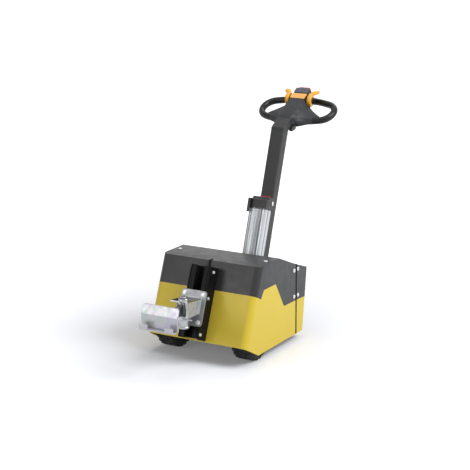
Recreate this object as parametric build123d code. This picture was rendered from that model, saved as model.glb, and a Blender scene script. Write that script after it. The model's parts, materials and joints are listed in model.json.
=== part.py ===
from build123d import *
import math
import os

# Walk-behind electric tow tractor, in millimetres.
# +X is the machine's right side, -Y its hitch end, +Y the operator's end, +Z up.
# The origin is on the floor, under the middle of the overall length.

os.makedirs("parts", exist_ok=True)

# Bodywork
body_width = 456.0
body_height = 386.0
sheet = 3.0
front_top_y = -212.0
front_bottom_y = -331.0
front_bottom_z = 85.0
skirt_z = 30.0
skirt_front_y = -228.0
kink_y = -54.0
seam_y = 86.0
seam_z = 329.0
seam_gap = 4.0
rear_top_y = 182.0
rear_top_z = 296.0
rear_bottom_y = 146.0
corner_radius = 28.0
tail_slot_width = 104.0
tail_slot_z = 112.0

# Chassis
deck_z = 128.0
deck_thickness = 8.0
deck_front_y = -92.0
deck_nose_y = -286.0
deck_tail_y = 140.0
bulkhead_width = 190.0
bulkhead_thickness = 6.0
bulkhead_drop = 30.0
seat_gap = 0.3
ballast_size = (260.0, 70.0, 80.0)
ballast_y = -40.0

# Drive wheels
wheel_radius = 100.0
wheel_width = 80.0
wheel_gap = 9.5
axle_y = -197.0
rim_radius = 62.0
rim_wall = 8.0
rim_dish = 22.0
hub_wall = 14.0
tyre_shoulder = 14.0
shaft_radius = 12.0
shaft_depth = 40.0
housing_radius = 46.0
housing_gap = 17.5
saddle_half_width = 60.0
saddle_half_depth = 34.0
motor_radius = 56.0
motor_length = 120.0
motor_offset = 20.0
motor_foot_half = 40.0
running_gap = 0.05

# Castor
castor_radius = 50.0
castor_width = 30.0
castor_rim = 36.0
castor_y = 40.0
castor_trail = 32.0
castor_plate_size = 96.0
castor_plate_thickness = 5.0
cup_radius = 32.0
cup_height = 11.0
crown_thickness = 7.0
crown_gap = 1.0
fork_inner = 20.0
fork_wall = 4.0
castor_pin_radius = 5.0
castor_boss_wall = 7.0
castor_edge = 6.0
fork_eye_half = 12.0
fork_eye_top = 4.0
fork_eye_foot = 8.0
bolt_head_rim = 4.0
kingpin_radius = 7.0

# Tiller
tiller_lean = 18.5
hinge_y = 140.0
hinge_z = 156.0
hinge_pin_radius = 8.0
foot_wall = 8.0
foot_gap = 0.5
foot_depth = 44.0
tiller_width = 60.0
tiller_depth = 46.0
tiller_wall = 3.0
tiller_foot = 26.0
tiller_edge = 4.0
tiller_top = 700.0
neck_front_rise = 10.0
neck_rear_rise = 6.0

# Battery on the tiller, placed along and across the tiller
battery_low = 125.0
battery_high = 358.0
battery_width = 78.0
battery_depth = 55.0
battery_edge = 6.0
flute_width = 5.0
flute_depth = 3.0
flute_pitch = 24.0
cradle_depth = 11.0
cradle_inset = 2.0
shelf_thickness = 8.0
shelf_inset = 4.0
shelf_setback = 6.0
cap_height = 50.0
cap_overlap = 2.0
cap_step = 22.0
cap_nose_drop = 12.0
cap_shoulder_drop = 4.0
latch_width = 12.0
latch_reach = 14.0
latch_wall = 4.0
latch_head = 16.0
latch_drop = 14.0
latch_hang = 22.0
lens_half_width = 24.0
lens_depth = 14.0
lens_height = 5.0

# Head of the tiller: a closed oval handle in a plane that rises to the rear
head_y = 527.0
head_z = 882.0
head_pitch = 30.0
ring_half_width = 170.0
ring_half_depth = 72.0
ring_end_radius = 56.0
ring_tube = 14.0
console_half_width = 35.0
console_top = 52.0
console_low = -16.0
console_front = -122.0
console_rear = 92.0
console_lip_v = 6.0
console_lip_u = 8.0
console_heel_u = -72.0
console_toe_u = 62.0
console_toe_v = 26.0
wing_half_width = 72.0
wing_top = 26.0
waist_half_width = 44.0
wing_half_depth = 16.0
wing_shoulder = 30.0
waist_u = -20.0
button_reach = 20.0
paddle_radius = 21.0
paddle_thickness = 12.0
paddle_u = 50.0
paddle_v = 32.0
paddle_seat_radius = 18.0
paddle_span = 80.0
paddle_wing_low = 14.0
paddle_wing_high = 26.0
paddle_wing_reach = 38.0
paddle_wing_rise = 2.0
switch_box_u = (-150.0, -118.0)
switch_box_height = 26.0
switch_box_width = 16.0

# Mast on the front panel
mast_width = 88.0
mast_depth = 62.0
mast_wall = 6.0
mast_slot = 36.0
mast_top = 28.0
mast_bottom = 316.0

# Hitch
plate_width = 112.0
plate_top = 129.0
plate_bottom = 269.0
plate_thickness = 8.0
plate_standoff = 8.0
plate_corner = 12.0
slide_gap = 0.5
slider_inset = 14.0
bracket_width = 75.0
bracket_wall = 6.0
bracket_chin = 12.0
bracket_chin_rise = 10.0
bracket_front_y = -451.0
bracket_top_z = 284.0
bracket_bottom_z = 210.0
bracket_top_fall = 12.0
hitch_pin_y = -414.0
hitch_pin_radius = 10.0
pin_head_radius = 14.0
pin_head_height = 5.0
bush_radius = 21.0
bush_bottom_z = 165.0
eye_radius = 20.0
eye_gap = 1.0
tongue_width = 20.0
tongue_height = 36.0
push_y = -588.0
push_width = 164.0
push_wall = 6.0
push_bottom_z = 199.0
push_bend_z = 257.0
push_top_z = 293.0
push_lean = 20.0
push_corner = 12.0
hook_width = 38.0
hook_reach = 26.0
hook_rise = 16.0
hook_inset = 6.0
hook_edge = 4.0


# Derived sizes, angles and frames
wheel_track = body_width - 2 * (sheet + wheel_gap) - wheel_width
housing_length = wheel_track - wheel_width - 2 * housing_gap
deck_nose_width = housing_length
push_face_z = push_bottom_z + push_wall
front_lean = math.degrees(math.atan2(front_top_y - front_bottom_y, body_height - front_bottom_z))
tail_slope = math.degrees(math.atan2(body_height - seam_z, seam_y - kink_y))
half_body = body_width / 2
mast_frame = Plane(
    origin=(0, front_top_y, body_height),
    x_dir=(1, 0, 0),
    z_dir=(0, -math.cos(math.radians(front_lean)), math.sin(math.radians(front_lean))),
)
tiller_frame = Plane(
    origin=(0, hinge_y, hinge_z),
    x_dir=(1, 0, 0),
    z_dir=(0, math.sin(math.radians(tiller_lean)), math.cos(math.radians(tiller_lean))),
)
head_frame = Plane(
    origin=(0, head_y, head_z),
    x_dir=(1, 0, 0),
    z_dir=(0, -math.sin(math.radians(head_pitch)), math.cos(math.radians(head_pitch))),
)


def block(x, y, z):
    """Box from three (low, high) pairs."""
    size = [high - low for low, high in (x, y, z)]
    middle = [(low + high) / 2 for low, high in (x, y, z)]
    return Pos(*middle) * Box(*size)


def side_profile(points, x_low, x_high):
    """Outline of (y, z) points carried across the machine."""
    face = make_face(Polyline(*points, close=True))
    return extrude(Plane.YZ.offset(x_low) * face, amount=x_high - x_low)


def plan_profile(points, z_low, z_high):
    """Outline of (x, y) points carried upwards."""
    face = make_face(Polyline(*points, close=True))
    return extrude(Plane.XY.offset(z_low) * face, amount=z_high - z_low)


def rod_x(radius, x_low, x_high, y, z):
    """Round bar across the machine."""
    return Pos((x_low + x_high) / 2, y, z) * Rot(0, 90, 0) * Cylinder(radius, x_high - x_low)


def rod_z(radius, x, y, z_low, z_high):
    """Upright round bar."""
    return Pos(x, y, (z_low + z_high) / 2) * Cylinder(radius, z_high - z_low)


def save(shape, name):
    export_step(shape, f"parts/{name}.step")


def hood_outline(inset, rear_y, low_z):
    """Side outline of the hood, moved inwards by inset."""
    rise = math.radians(front_lean)
    fall = math.radians(tail_slope)
    shift = inset / math.cos(rise)
    slope = math.tan(rise)
    top_z = body_height - inset
    front_top = front_top_y + shift - inset * slope
    kink = kink_y - inset * math.tan(fall / 2)
    rear_z = top_z - (rear_y - kink) * math.tan(fall)
    low_front = front_bottom_y + shift - (front_bottom_z - low_z) * slope
    return [(low_front, low_z), (front_top, top_z), (kink, top_z), (rear_y, rear_z), (rear_y, low_z)]


def hood_solid(inset, rear_y, low_z):
    """Hood as a filled shape, with its two sloped front corners rounded."""
    half = half_body - inset
    shape = side_profile(hood_outline(inset, rear_y, low_z), -half, half)
    slope = Vector(0, math.sin(math.radians(front_lean)), math.cos(math.radians(front_lean)))
    corners = [e for e in shape.edges() if abs((e @ 1 - e @ 0).normalized().dot(slope)) > 0.999]
    return fillet(corners, corner_radius - inset)


def make_hood():
    """Front, flat top and sides in one folded sheet, open below and behind."""
    outer = hood_solid(0, seam_y, skirt_z)
    inner = hood_solid(sheet, seam_y + 10, skirt_z - 40)
    notch = [
        (front_bottom_y - 200, skirt_z - 10),
        (front_bottom_y - 200, front_bottom_z),
        (front_bottom_y, front_bottom_z),
        (skirt_front_y, skirt_z),
        (skirt_front_y, skirt_z - 10),
    ]
    return outer - inner - side_profile(notch, -half_body - 1, half_body + 1)


def tail_outline(inset):
    """Side outline of the tail cover, moved inwards by inset."""
    start = seam_y + seam_gap
    lean = (rear_top_y - rear_bottom_y) / (rear_top_z - skirt_z)
    low_z = skirt_z if inset == 0 else skirt_z - 10
    low_y = rear_bottom_y - inset - (skirt_z - low_z) * lean
    first = start if inset == 0 else start - 10
    fall = (seam_z - rear_top_z) / (rear_top_y - seam_y)
    first_z = seam_z - inset - (first - seam_y) * fall
    return [
        (first, low_z),
        (first, first_z),
        (rear_top_y - inset, rear_top_z - inset),
        (low_y, low_z),
    ]


def make_tail_cover():
    """Rear cover with the slot that the tiller stands and tilts in."""
    outer = side_profile(tail_outline(0), -half_body, half_body)
    inner = side_profile(tail_outline(sheet), sheet - half_body, half_body - sheet)
    half = tail_slot_width / 2
    slot = block((-half, half), (seam_y - 10, rear_top_y + 10), (tail_slot_z, body_height))
    return outer - inner - slot


def make_deck():
    """Steel deck: a nose between the drive wheels and a wide rear."""
    wide = half_body - sheet - seat_gap
    nose = deck_nose_width / 2
    outline = [
        (-nose, deck_nose_y),
        (nose, deck_nose_y),
        (nose, deck_front_y),
        (wide, deck_front_y),
        (wide, deck_tail_y),
        (-wide, deck_tail_y),
        (-wide, deck_front_y),
        (-nose, deck_front_y),
    ]
    return plan_profile(outline, deck_z, deck_z + deck_thickness)


def make_bulkhead():
    """Sloped steel plate behind the front panel, standing on the deck's nose."""
    cos_lean = math.cos(math.radians(front_lean))
    low = (body_height - deck_z - deck_thickness - 2 * seat_gap) / cos_lean
    half = bulkhead_width / 2
    back = -sheet - seat_gap
    plate = block((-half, half), (-low, -bulkhead_drop), (back - bulkhead_thickness, back))
    top = deck_z + deck_thickness
    plate = mast_frame.location * plate
    return plate - block((-half - 1, half + 1), (front_bottom_y - 100, 0), (0, top))


def make_drive_housing():
    """Gear and motor housing between the drive wheels, hung under the deck."""
    half = housing_length / 2
    tube = rod_x(housing_radius, -half, half, axle_y, wheel_radius)
    front, back = axle_y - saddle_half_depth, axle_y + saddle_half_depth
    saddle = block((-saddle_half_width, saddle_half_width), (front, back), (wheel_radius, deck_z))
    front, back = axle_y - housing_radius - 1, axle_y + housing_radius + 1
    above = block((-half - 1, half + 1), (front, back), (deck_z, deck_z + housing_radius))
    shape = tube + saddle - above
    for low, high in [(-half, -half + shaft_depth), (half - shaft_depth, half)]:
        shape -= rod_x(shaft_radius + running_gap, low - 1, high + 1, axle_y, wheel_radius)
    return shape


def make_motor():
    """Drive motor, lying across the deck's nose."""
    low = deck_z + deck_thickness
    y = axle_y + motor_offset
    half = motor_length / 2
    body = rod_x(motor_radius, -half, half, y, low + motor_radius)
    foot_half = motor_foot_half
    foot = block((-foot_half, foot_half), (y - foot_half, y + foot_half), (low, low + motor_radius / 2))
    return body + foot


def make_ballast():
    """Ballast block standing on the deck."""
    width, depth, height = ballast_size
    low = deck_z + deck_thickness
    return block((-width / 2, width / 2), (ballast_y - depth / 2, ballast_y + depth / 2), (low, low + height))


def ring_of(profile_points, x):
    """Turned body about the drive axle's line, from (radius, x offset) points."""
    points = [(x + offset, radius) for radius, offset in profile_points]
    face = make_face(Polyline(*points, close=True))
    turned = revolve(face, Axis.X, 360)
    return turned


def make_tyre(x):
    """Drive tyre with rounded shoulders."""
    half = wheel_width / 2
    s = tyre_shoulder
    outline = [
        (rim_radius, -half + s / 2),
        (wheel_radius - s, -half),
        (wheel_radius - s / 3, -half + s / 3),
        (wheel_radius, -half + s),
        (wheel_radius, half - s),
        (wheel_radius - s / 3, half - s / 3),
        (wheel_radius - s, half),
        (rim_radius, half - s / 2),
    ]
    return Pos(0, axle_y, wheel_radius) * ring_of(outline, x)


def make_rim(x, side):
    """Wheel with its hub, and a dished outer face."""
    half = wheel_width / 2 - tyre_shoulder / 2
    outer = ring_of([(shaft_radius, -half), (rim_radius, -half), (rim_radius, half), (shaft_radius, half)], x)
    step = rim_radius - rim_wall
    hub = shaft_radius + hub_wall
    face = side * half
    inner = side * (half - rim_dish)
    cut = ring_of([(hub, inner), (step, inner), (step, face + side), (hub, face + side)], x)
    return Pos(0, axle_y, wheel_radius) * (outer - cut)


def make_shaft(side):
    """Half shaft that carries a drive wheel."""
    inner = housing_length / 2 - shaft_depth + 2
    outer = wheel_track / 2 + wheel_width / 2 - tyre_shoulder / 2
    low, high = sorted((side * inner, side * outer))
    return rod_x(shaft_radius, low, high, axle_y, wheel_radius)


def make_castor_head():
    """Castor's fixed plate, bearing cup and kingpin."""
    half = castor_plate_size / 2
    low = deck_z - castor_plate_thickness
    plate = block((-half, half), (castor_y - half, castor_y + half), (low, deck_z))
    cup = rod_z(cup_radius, 0, castor_y, low - cup_height, low)
    crown_low = low - cup_height - crown_gap - crown_thickness
    pin = rod_z(kingpin_radius, 0, castor_y, crown_low, low - cup_height)
    return plate + cup + pin


def make_castor_fork():
    """Crown and two trailing legs."""
    top = deck_z - castor_plate_thickness - cup_height - crown_gap
    low = top - crown_thickness
    outer = fork_inner + fork_wall
    half = cup_radius
    crown = block((-outer, outer), (castor_y - half, castor_y + half), (low, top))
    eye_y = castor_y + castor_trail
    outline = [
        (castor_y - half, top),
        (castor_y + half, top),
        (eye_y + fork_eye_half, castor_radius + fork_eye_top),
        (eye_y + fork_eye_half, castor_radius - fork_eye_foot),
        (eye_y - fork_eye_half, castor_radius - fork_eye_foot),
        (eye_y - fork_eye_half - fork_eye_top, castor_radius + fork_eye_top),
    ]
    shape = crown
    for low_x in (-outer, fork_inner):
        shape += side_profile(outline, low_x, low_x + fork_wall)
    shape -= rod_z(kingpin_radius + running_gap, 0, castor_y, low - 1, top + 1)
    shape -= rod_x(castor_pin_radius, -outer - 1, outer + 1, eye_y, castor_radius)
    return shape


def make_castor_pin():
    """Castor's axle bolt, held in the fork."""
    outer = fork_inner + fork_wall
    y = castor_y + castor_trail
    end = outer + bolt_head_rim
    shape = rod_x(castor_pin_radius, -end, end, y, castor_radius)
    for low, high in ((-end, -outer), (outer, end)):
        shape += rod_x(castor_pin_radius + bolt_head_rim, low, high, y, castor_radius)
    return shape


def turned_castor(profile_points):
    """Turned body about the castor's axle."""
    return Pos(0, castor_y + castor_trail, castor_radius) * ring_of(profile_points, 0)


def make_castor_hub():
    """Castor's wheel centre, with bosses that reach the fork."""
    half = castor_width / 2
    bore = castor_pin_radius + running_gap
    boss = castor_pin_radius + castor_boss_wall
    reach = fork_inner - seat_gap
    outline = [
        (bore, -reach),
        (boss, -reach),
        (boss, -half),
        (castor_rim, -half),
        (castor_rim, half),
        (boss, half),
        (boss, reach),
        (bore, reach),
    ]
    return turned_castor(outline)


def make_castor_tyre():
    """Castor's tread ring."""
    half = castor_width / 2
    outline = [
        (castor_rim, -half),
        (castor_radius - castor_edge, -half),
        (castor_radius, -half + castor_edge),
        (castor_radius, half - castor_edge),
        (castor_radius - castor_edge, half),
        (castor_rim, half),
    ]
    return turned_castor(outline)


def make_tiller_foot():
    """Two upright cheeks on the deck that hold the tiller's hinge pin."""
    inner = tiller_width / 2 + foot_gap
    outer = inner + foot_wall
    low = deck_z + deck_thickness
    half = foot_depth / 2
    base_half = half - 4
    outline = [
        (hinge_y - base_half, low),
        (hinge_y - half, hinge_z),
        (hinge_y - half / 2, hinge_z + half),
        (hinge_y + half / 2, hinge_z + half),
        (hinge_y + half - 2, hinge_z),
        (deck_tail_y, low),
    ]
    shape = side_profile(outline, -outer, -inner) + side_profile(outline, inner, outer)
    for low_x, high_x in ((-outer, -inner), (inner, outer)):
        shape -= rod_x(hinge_pin_radius, low_x - 1, high_x + 1, hinge_y, hinge_z)
    return shape


def make_hinge_pin():
    """Pin that the tiller turns on."""
    outer = tiller_width / 2 + foot_gap + foot_wall
    end = outer + bolt_head_rim
    shape = rod_x(hinge_pin_radius, -end, end, hinge_y, hinge_z)
    for low, high in ((-end, -outer), (outer, end)):
        shape += rod_x(hinge_pin_radius + bolt_head_rim, low, high, hinge_y, hinge_z)
    return shape


def make_tiller_tube():
    """Folded square tube with a turned-down, round-ended foot on the hinge pin."""
    half_x = tiller_width / 2
    half_y = tiller_depth / 2
    outer = block((-half_x, half_x), (-half_y, half_y), (0, tiller_top))
    outer = fillet(outer.edges().filter_by(Axis.Z), tiller_edge)
    inner = block(
        (tiller_wall - half_x, half_x - tiller_wall),
        (tiller_wall - half_y, half_y - tiller_wall),
        (tiller_foot, tiller_top + 1),
    )
    heel = rod_x(half_y - tiller_wall, -half_x, half_x, 0, 0)
    shape = outer - inner + heel
    shape -= rod_x(hinge_pin_radius + running_gap, -half_x - 1, half_x + 1, 0, 0)
    return tiller_frame.location * shape


def along_tiller(w, d):
    """Point (y, z) at w along the tiller and d behind its middle."""
    point = tiller_frame.from_local_coords((0, d, w))
    return (point.Y, point.Z)


def on_head(u, v):
    """Point (y, z) at u along and v above the handle's plane."""
    point = head_frame.from_local_coords((0, u, v))
    return (point.Y, point.Z)


def make_neck():
    """Bent upper length that carries the head."""
    half_y = tiller_depth / 2
    outline = [
        along_tiller(tiller_top, -half_y),
        along_tiller(tiller_top + neck_front_rise, -half_y),
        on_head(console_front, console_top - 1),
        on_head(console_front + console_lip_u, console_lip_v),
        along_tiller(tiller_top + neck_rear_rise, half_y),
        along_tiller(tiller_top, half_y),
    ]
    half_x = tiller_width / 2
    return side_profile(outline, -half_x, half_x)


def make_cradle():
    """Battery rail on the tiller's front face, with a shelf under the battery."""
    face = -tiller_depth / 2
    back = face - cradle_depth
    half = tiller_width / 2 - cradle_inset
    low = battery_low - shelf_thickness
    rail = block((-half, half), (back, face), (low, battery_high))
    shelf_front = back - battery_depth + shelf_setback
    half_shelf = battery_width / 2 - shelf_inset
    shelf = block((-half_shelf, half_shelf), (shelf_front, back), (low, battery_low))
    return tiller_frame.location * (rail + shelf)


def make_battery():
    """Extruded aluminium battery case with upright flutes."""
    back = -tiller_depth / 2 - cradle_depth
    front = back - battery_depth
    half = battery_width / 2
    shape = block((-half, half), (front, back), (battery_low, battery_high))
    shape = fillet(shape.edges().filter_by(Axis.Z), battery_edge)
    half_flute = flute_width / 2
    height = (0, battery_high + 1)
    for x in (-flute_pitch, 0, flute_pitch):
        shape -= block((x - half_flute, x + half_flute), (front - 1, front + flute_depth), height)
    middle = (front + back) / 2
    for side in (-1, 1):
        edge = sorted((side * (half - flute_depth), side * (half + 1)))
        shape -= block(edge, (middle - half_flute, middle + half_flute), height)
    return tiller_frame.location * shape


def make_cap():
    """Moulded cap over the battery's upper end."""
    face = -tiller_depth / 2
    back = face - cradle_depth
    front = back - battery_depth - cap_overlap
    half = battery_width / 2 + cap_overlap
    top = battery_high + cap_height
    outline = [
        (face, battery_high),
        (front, battery_high),
        (front, top - cap_nose_drop),
        (front + cap_step - cap_shoulder_drop, top - cap_shoulder_drop),
        (front + cap_step, top),
        (face, top),
    ]
    return tiller_frame.location * side_profile(outline, -half, half)


def make_latch():
    """Lever at the cap's front left corner that holds the battery."""
    front = -tiller_depth / 2 - cradle_depth - battery_depth - cap_overlap
    left = -battery_width / 2 - cap_overlap
    top = battery_high + cap_height - latch_drop
    low = battery_high - latch_hang
    outline = [
        (front, top),
        (front - latch_reach, top),
        (front - latch_reach, low),
        (front - latch_reach + latch_wall, low),
        (front - latch_reach + latch_wall, top - latch_head),
        (front, top - latch_head),
    ]
    return tiller_frame.location * side_profile(outline, left, left + latch_width)


def make_lens():
    """Red strip on the cap, beside the tiller's front face."""
    face = -tiller_depth / 2
    top = battery_high + cap_height
    half = lens_half_width
    return tiller_frame.location * block((-half, half), (face - lens_depth, face), (top, top + lens_height))


def oval_path():
    """Oval of four tangent arcs: two small ends and two long sides."""
    a, b, r = ring_half_width, ring_half_depth, ring_end_radius
    end = a - r
    big = (end * end + b * b - r * r) / (2 * (b - r))
    centre = b - big
    reach = math.hypot(end, centre)
    unit = (end / reach, -centre / reach)
    joint = (end + r * unit[0], r * unit[1])
    left = (-joint[0], joint[1])
    low_left = (-joint[0], -joint[1])
    low_right = (joint[0], -joint[1])
    return [
        ThreePointArc(joint, (0, b), left),
        ThreePointArc(left, (-a, 0), low_left),
        ThreePointArc(low_left, (0, -b), low_right),
        ThreePointArc(low_right, (a, 0), joint),
    ]


def make_ring():
    """Closed oval tube, before the console is taken out of it."""
    path = Wire(oval_path())
    start = Plane(origin=path @ 0, z_dir=path % 0)
    return sweep(start * Circle(ring_tube), path=path)


def console_core():
    """Console's central body, in the head's frame."""
    outline = [
        (console_front, console_top),
        (console_rear, console_top),
        (console_rear + 6, console_low + console_toe_v),
        (console_toe_u, console_low),
        (console_heel_u, console_low),
        (console_front + console_lip_u, console_lip_v),
    ]
    return side_profile(outline, -console_half_width, console_half_width)


def console_wings():
    """Low, wide part of the console that the handle's arms grow from."""
    wing, waist = wing_half_width, waist_half_width
    near = -ring_half_depth
    right = [
        (console_half_width - 4, console_front + 12),
        (wing, near - wing_half_depth),
        (wing, near + wing_half_depth),
        (waist + 8, near + wing_shoulder),
        (waist, waist_u),
        (waist, console_rear - 2),
    ]
    left = [(-x, y) for x, y in reversed(right)]
    return plan_profile(right + left, console_low, wing_top)


def make_console():
    """Console on the handle's plane."""
    shape = console_core() + console_wings()
    shape += rod_x(paddle_seat_radius, -waist_half_width, waist_half_width, paddle_u, paddle_v)
    face = console_rear
    wide = ring_half_width
    cut = block((-wide, wide), (face, face + 100), (-console_low - 6, console_top + 1))
    lip = (console_front + console_lip_u, console_lip_v)
    ahead = console_front - 40
    outline = [(ahead, console_lip_v), lip, (console_front, console_top), (ahead, console_top)]
    cut += side_profile(outline, -wide, wide)
    return shape - cut


def make_grip(side, ring, console):
    """One side of the oval handle, from the console round to the console."""
    waste = block(sorted((0, -side * 300)), (-200, 200), (-100, 100))
    return head_frame.location * (ring - console - waste)


def make_button():
    """Reversing button on the operator's end of the console."""
    half = console_half_width - 4
    low = -console_low - 4
    shape = block((-half, half), (console_rear, console_rear + button_reach), (low, console_top + 3))
    outer = [e for e in shape.edges().filter_by(Axis.X) if e.center().Y > console_rear + 1]
    return head_frame.location * fillet(outer, 8.0)


def make_paddle(side):
    """Butterfly thumb control: a round boss and a wing that reaches outwards."""
    inner = waist_half_width
    low, high = sorted((side * inner, side * (inner + paddle_thickness)))
    boss = rod_x(paddle_radius, low, high, paddle_u, paddle_v)
    tip_low, tip_high = sorted((side * inner, side * paddle_span))
    outline = [
        (paddle_u, paddle_v + paddle_wing_low),
        (paddle_u + paddle_wing_reach - 2, paddle_v + paddle_wing_low + paddle_wing_rise),
        (paddle_u + paddle_wing_reach, paddle_v + paddle_wing_high - paddle_wing_rise),
        (paddle_u + 4, paddle_v + paddle_wing_high),
    ]
    wing = side_profile(outline, tip_low, tip_high)
    return head_frame.location * (boss + wing)


def make_switch_box():
    """Key switch box under the console, on the neck's right side."""
    low = tiller_width / 2
    front, back = switch_box_u
    tall = switch_box_height
    skew = console_lip_v
    outline = [(front, -skew), (back, 0), (back, tall), (front, tall - skew)]
    return head_frame.location * side_profile(outline, low, low + switch_box_width)


def mast_box(x, down, out):
    """Box in the mast's frame; down is measured from the panel's top edge."""
    return block(x, (-down[1], -down[0]), out)


def make_mast():
    """Slotted channel on the front panel that the hitch slides in."""
    half = mast_width / 2
    shape = mast_box((-half, half), (mast_top, mast_bottom), (0, mast_depth))
    inner = half - mast_wall
    shape -= mast_box((-inner, inner), (mast_top - 1, mast_bottom + 1), (mast_wall, mast_depth - mast_wall))
    slot = mast_slot / 2
    shape -= mast_box((-slot, slot), (mast_top - 1, mast_bottom + 1), (mast_wall, mast_depth + 1))
    return mast_frame.location * shape


def make_slider():
    """Slide block inside the mast and its neck through the slot."""
    half = mast_width / 2 - mast_wall - slide_gap
    low = mast_wall + slide_gap
    high = mast_depth - mast_wall - slide_gap
    neck = mast_slot / 2 - slide_gap
    span = (plate_top + slider_inset, plate_bottom - slider_inset)
    shape = mast_box((-half, half), span, (low, high))
    shape += mast_box((-neck, neck), span, (high - 1, mast_depth + plate_standoff))
    return mast_frame.location * shape


def make_plate():
    """Hitch base plate with rounded corners."""
    half = plate_width / 2
    low = mast_depth + plate_standoff
    shape = mast_box((-half, half), (plate_top, plate_bottom), (low, low + plate_thickness))
    shape = fillet(shape.edges().filter_by(Axis.Z), plate_corner)
    return mast_frame.location * shape


def plate_face_y(z):
    """Where the base plate's front face is at a height."""
    out = (mast_depth + plate_standoff + plate_thickness) / math.cos(math.radians(front_lean))
    return front_top_y - out - (body_height - z) * math.tan(math.radians(front_lean))


def make_bracket():
    """Box bracket on the base plate, open to the front."""
    half = bracket_width / 2
    top, low, wall = bracket_top_z, bracket_bottom_z, bracket_wall
    rear_top = top - bracket_top_fall
    outline = [
        (plate_face_y(rear_top), rear_top),
        (bracket_front_y, top),
        (bracket_front_y, low + bracket_chin_rise),
        (bracket_front_y + bracket_chin, low),
        (plate_face_y(low), low),
    ]
    shape = side_profile(outline, -half, half)
    behind = plate_face_y(rear_top) + bracket_width
    ahead = bracket_front_y - bracket_width
    roof = rear_top - wall
    inner = [(behind, roof), (ahead, roof), (ahead, low + wall), (behind, low + wall)]
    shape -= side_profile(inner, wall - half, half - wall)
    shape += rod_z(bush_radius, 0, hitch_pin_y, bush_bottom_z, low)
    shape += rod_z(bush_radius, 0, hitch_pin_y, roof, top)
    shape -= rod_z(hitch_pin_radius, 0, hitch_pin_y, bush_bottom_z - 1, top + 1)
    return shape


def make_hitch_pin():
    """Upright pin, with its head on the bracket."""
    shape = rod_z(hitch_pin_radius, 0, hitch_pin_y, bush_bottom_z - 6, bracket_top_z)
    shape += rod_z(pin_head_radius, 0, hitch_pin_y, bracket_top_z, bracket_top_z + pin_head_height)
    return shape


def make_tongue():
    """Swinging arm from the pin to the push plate."""
    low = bracket_bottom_z + bracket_wall + eye_gap
    high = bracket_top_z - bracket_top_fall - bracket_wall - eye_gap
    shape = rod_z(eye_radius, 0, hitch_pin_y, low, high)
    half = tongue_width / 2
    span = (push_bend_z - 1 - tongue_height, push_bend_z - 1)
    shape += block((-half, half), (push_y + push_wall, hitch_pin_y), span)
    shape -= rod_z(hitch_pin_radius + running_gap, 0, hitch_pin_y, low - 1, high + 1)
    return shape


def make_push_plate():
    """Folded push plate: upright below, leaning back above its fold."""
    half = push_width / 2
    back = (push_top_z - push_bend_z) * math.tan(math.radians(push_lean))
    outline = [
        (push_y, push_face_z),
        (push_y, push_bend_z),
        (push_y + back, push_top_z),
        (push_y + back + push_wall, push_top_z),
        (push_y + push_wall, push_bend_z - 1),
        (push_y + push_wall, push_face_z),
    ]
    shape = side_profile(outline, -half, half)
    for side in (-1, 1):
        corner = block(
            sorted((side * (half - push_corner), side * (half + 1))),
            (push_y - 1, push_y + 60),
            (push_top_z - push_corner, push_top_z + 1),
        )
        middle = Pos(side * (half - push_corner), push_y + 30, push_top_z - push_corner)
        shape -= corner - middle * Rot(90, 0, 0) * Cylinder(push_corner, 80)
    return shape


def make_hook(side):
    """Lip under the push plate's foot, turned up at its front."""
    outer = push_width / 2 - hook_inset
    x_low, x_high = sorted((side * (outer - hook_width), side * outer))
    low = push_bottom_z
    front = push_y - hook_reach
    outline = [
        (push_y + push_wall, low),
        (front + hook_edge, low),
        (front, low + hook_edge),
        (front, low + hook_rise),
        (front + push_wall, low + hook_rise),
        (front + push_wall, push_face_z),
        (push_y, push_face_z),
        (push_y, push_face_z - seat_gap),
        (push_y + push_wall, push_face_z - seat_gap),
    ]
    return side_profile(outline, x_low, x_high)


def main():
    save(make_hood(), "hood")
    save(make_tail_cover(), "tail_cover")
    save(make_deck(), "deck")
    save(make_bulkhead(), "front_bulkhead")
    save(make_drive_housing(), "drive_housing")
    save(make_motor(), "drive_motor")
    save(make_ballast(), "ballast")

    for name, side in (("left", -1), ("right", 1)):
        x = side * wheel_track / 2
        shaft = make_shaft(side)
        save(make_tyre(x), f"drive_tyre_{name}")
        save(make_rim(x, side), f"drive_wheel_{name}")
        save(shaft, f"drive_shaft_{name}")

    save(make_castor_head(), "castor_head")
    save(make_castor_fork(), "castor_fork")
    save(make_castor_pin(), "castor_pin")
    save(make_castor_hub(), "castor_wheel")
    save(make_castor_tyre(), "castor_tyre")

    save(make_tiller_foot(), "tiller_foot")
    save(make_hinge_pin(), "tiller_pin")
    save(make_tiller_tube(), "tiller_tube")
    save(make_neck(), "tiller_neck")
    save(make_cradle(), "battery_cradle")
    save(make_battery(), "battery")
    save(make_cap(), "battery_cap")
    save(make_latch(), "battery_latch")
    save(make_lens(), "battery_lens")

    ring = make_ring()
    console = make_console()
    save(head_frame.location * (console), "console")
    for name, side in (("left", -1), ("right", 1)):
        save(make_grip(side, ring, console), f"grip_{name}")
        save(make_paddle(side), f"thumb_paddle_{name}")
    save(make_button(), "reverse_button")
    save(make_switch_box(), "switch_box")

    save(make_mast(), "mast")
    save(make_slider(), "hitch_slider")
    save(make_plate(), "hitch_plate")
    save(make_bracket(), "hitch_bracket")
    save(make_hitch_pin(), "hitch_pin")
    save(make_tongue(), "hitch_tongue")
    save(make_push_plate(), "push_plate")
    for name, side in (("left", -1), ("right", 1)):
        save(make_hook(side), f"push_hook_{name}")


main()
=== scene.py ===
import json
import math
import bmesh
import bpy
import numpy as np
from mathutils import Matrix


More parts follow.
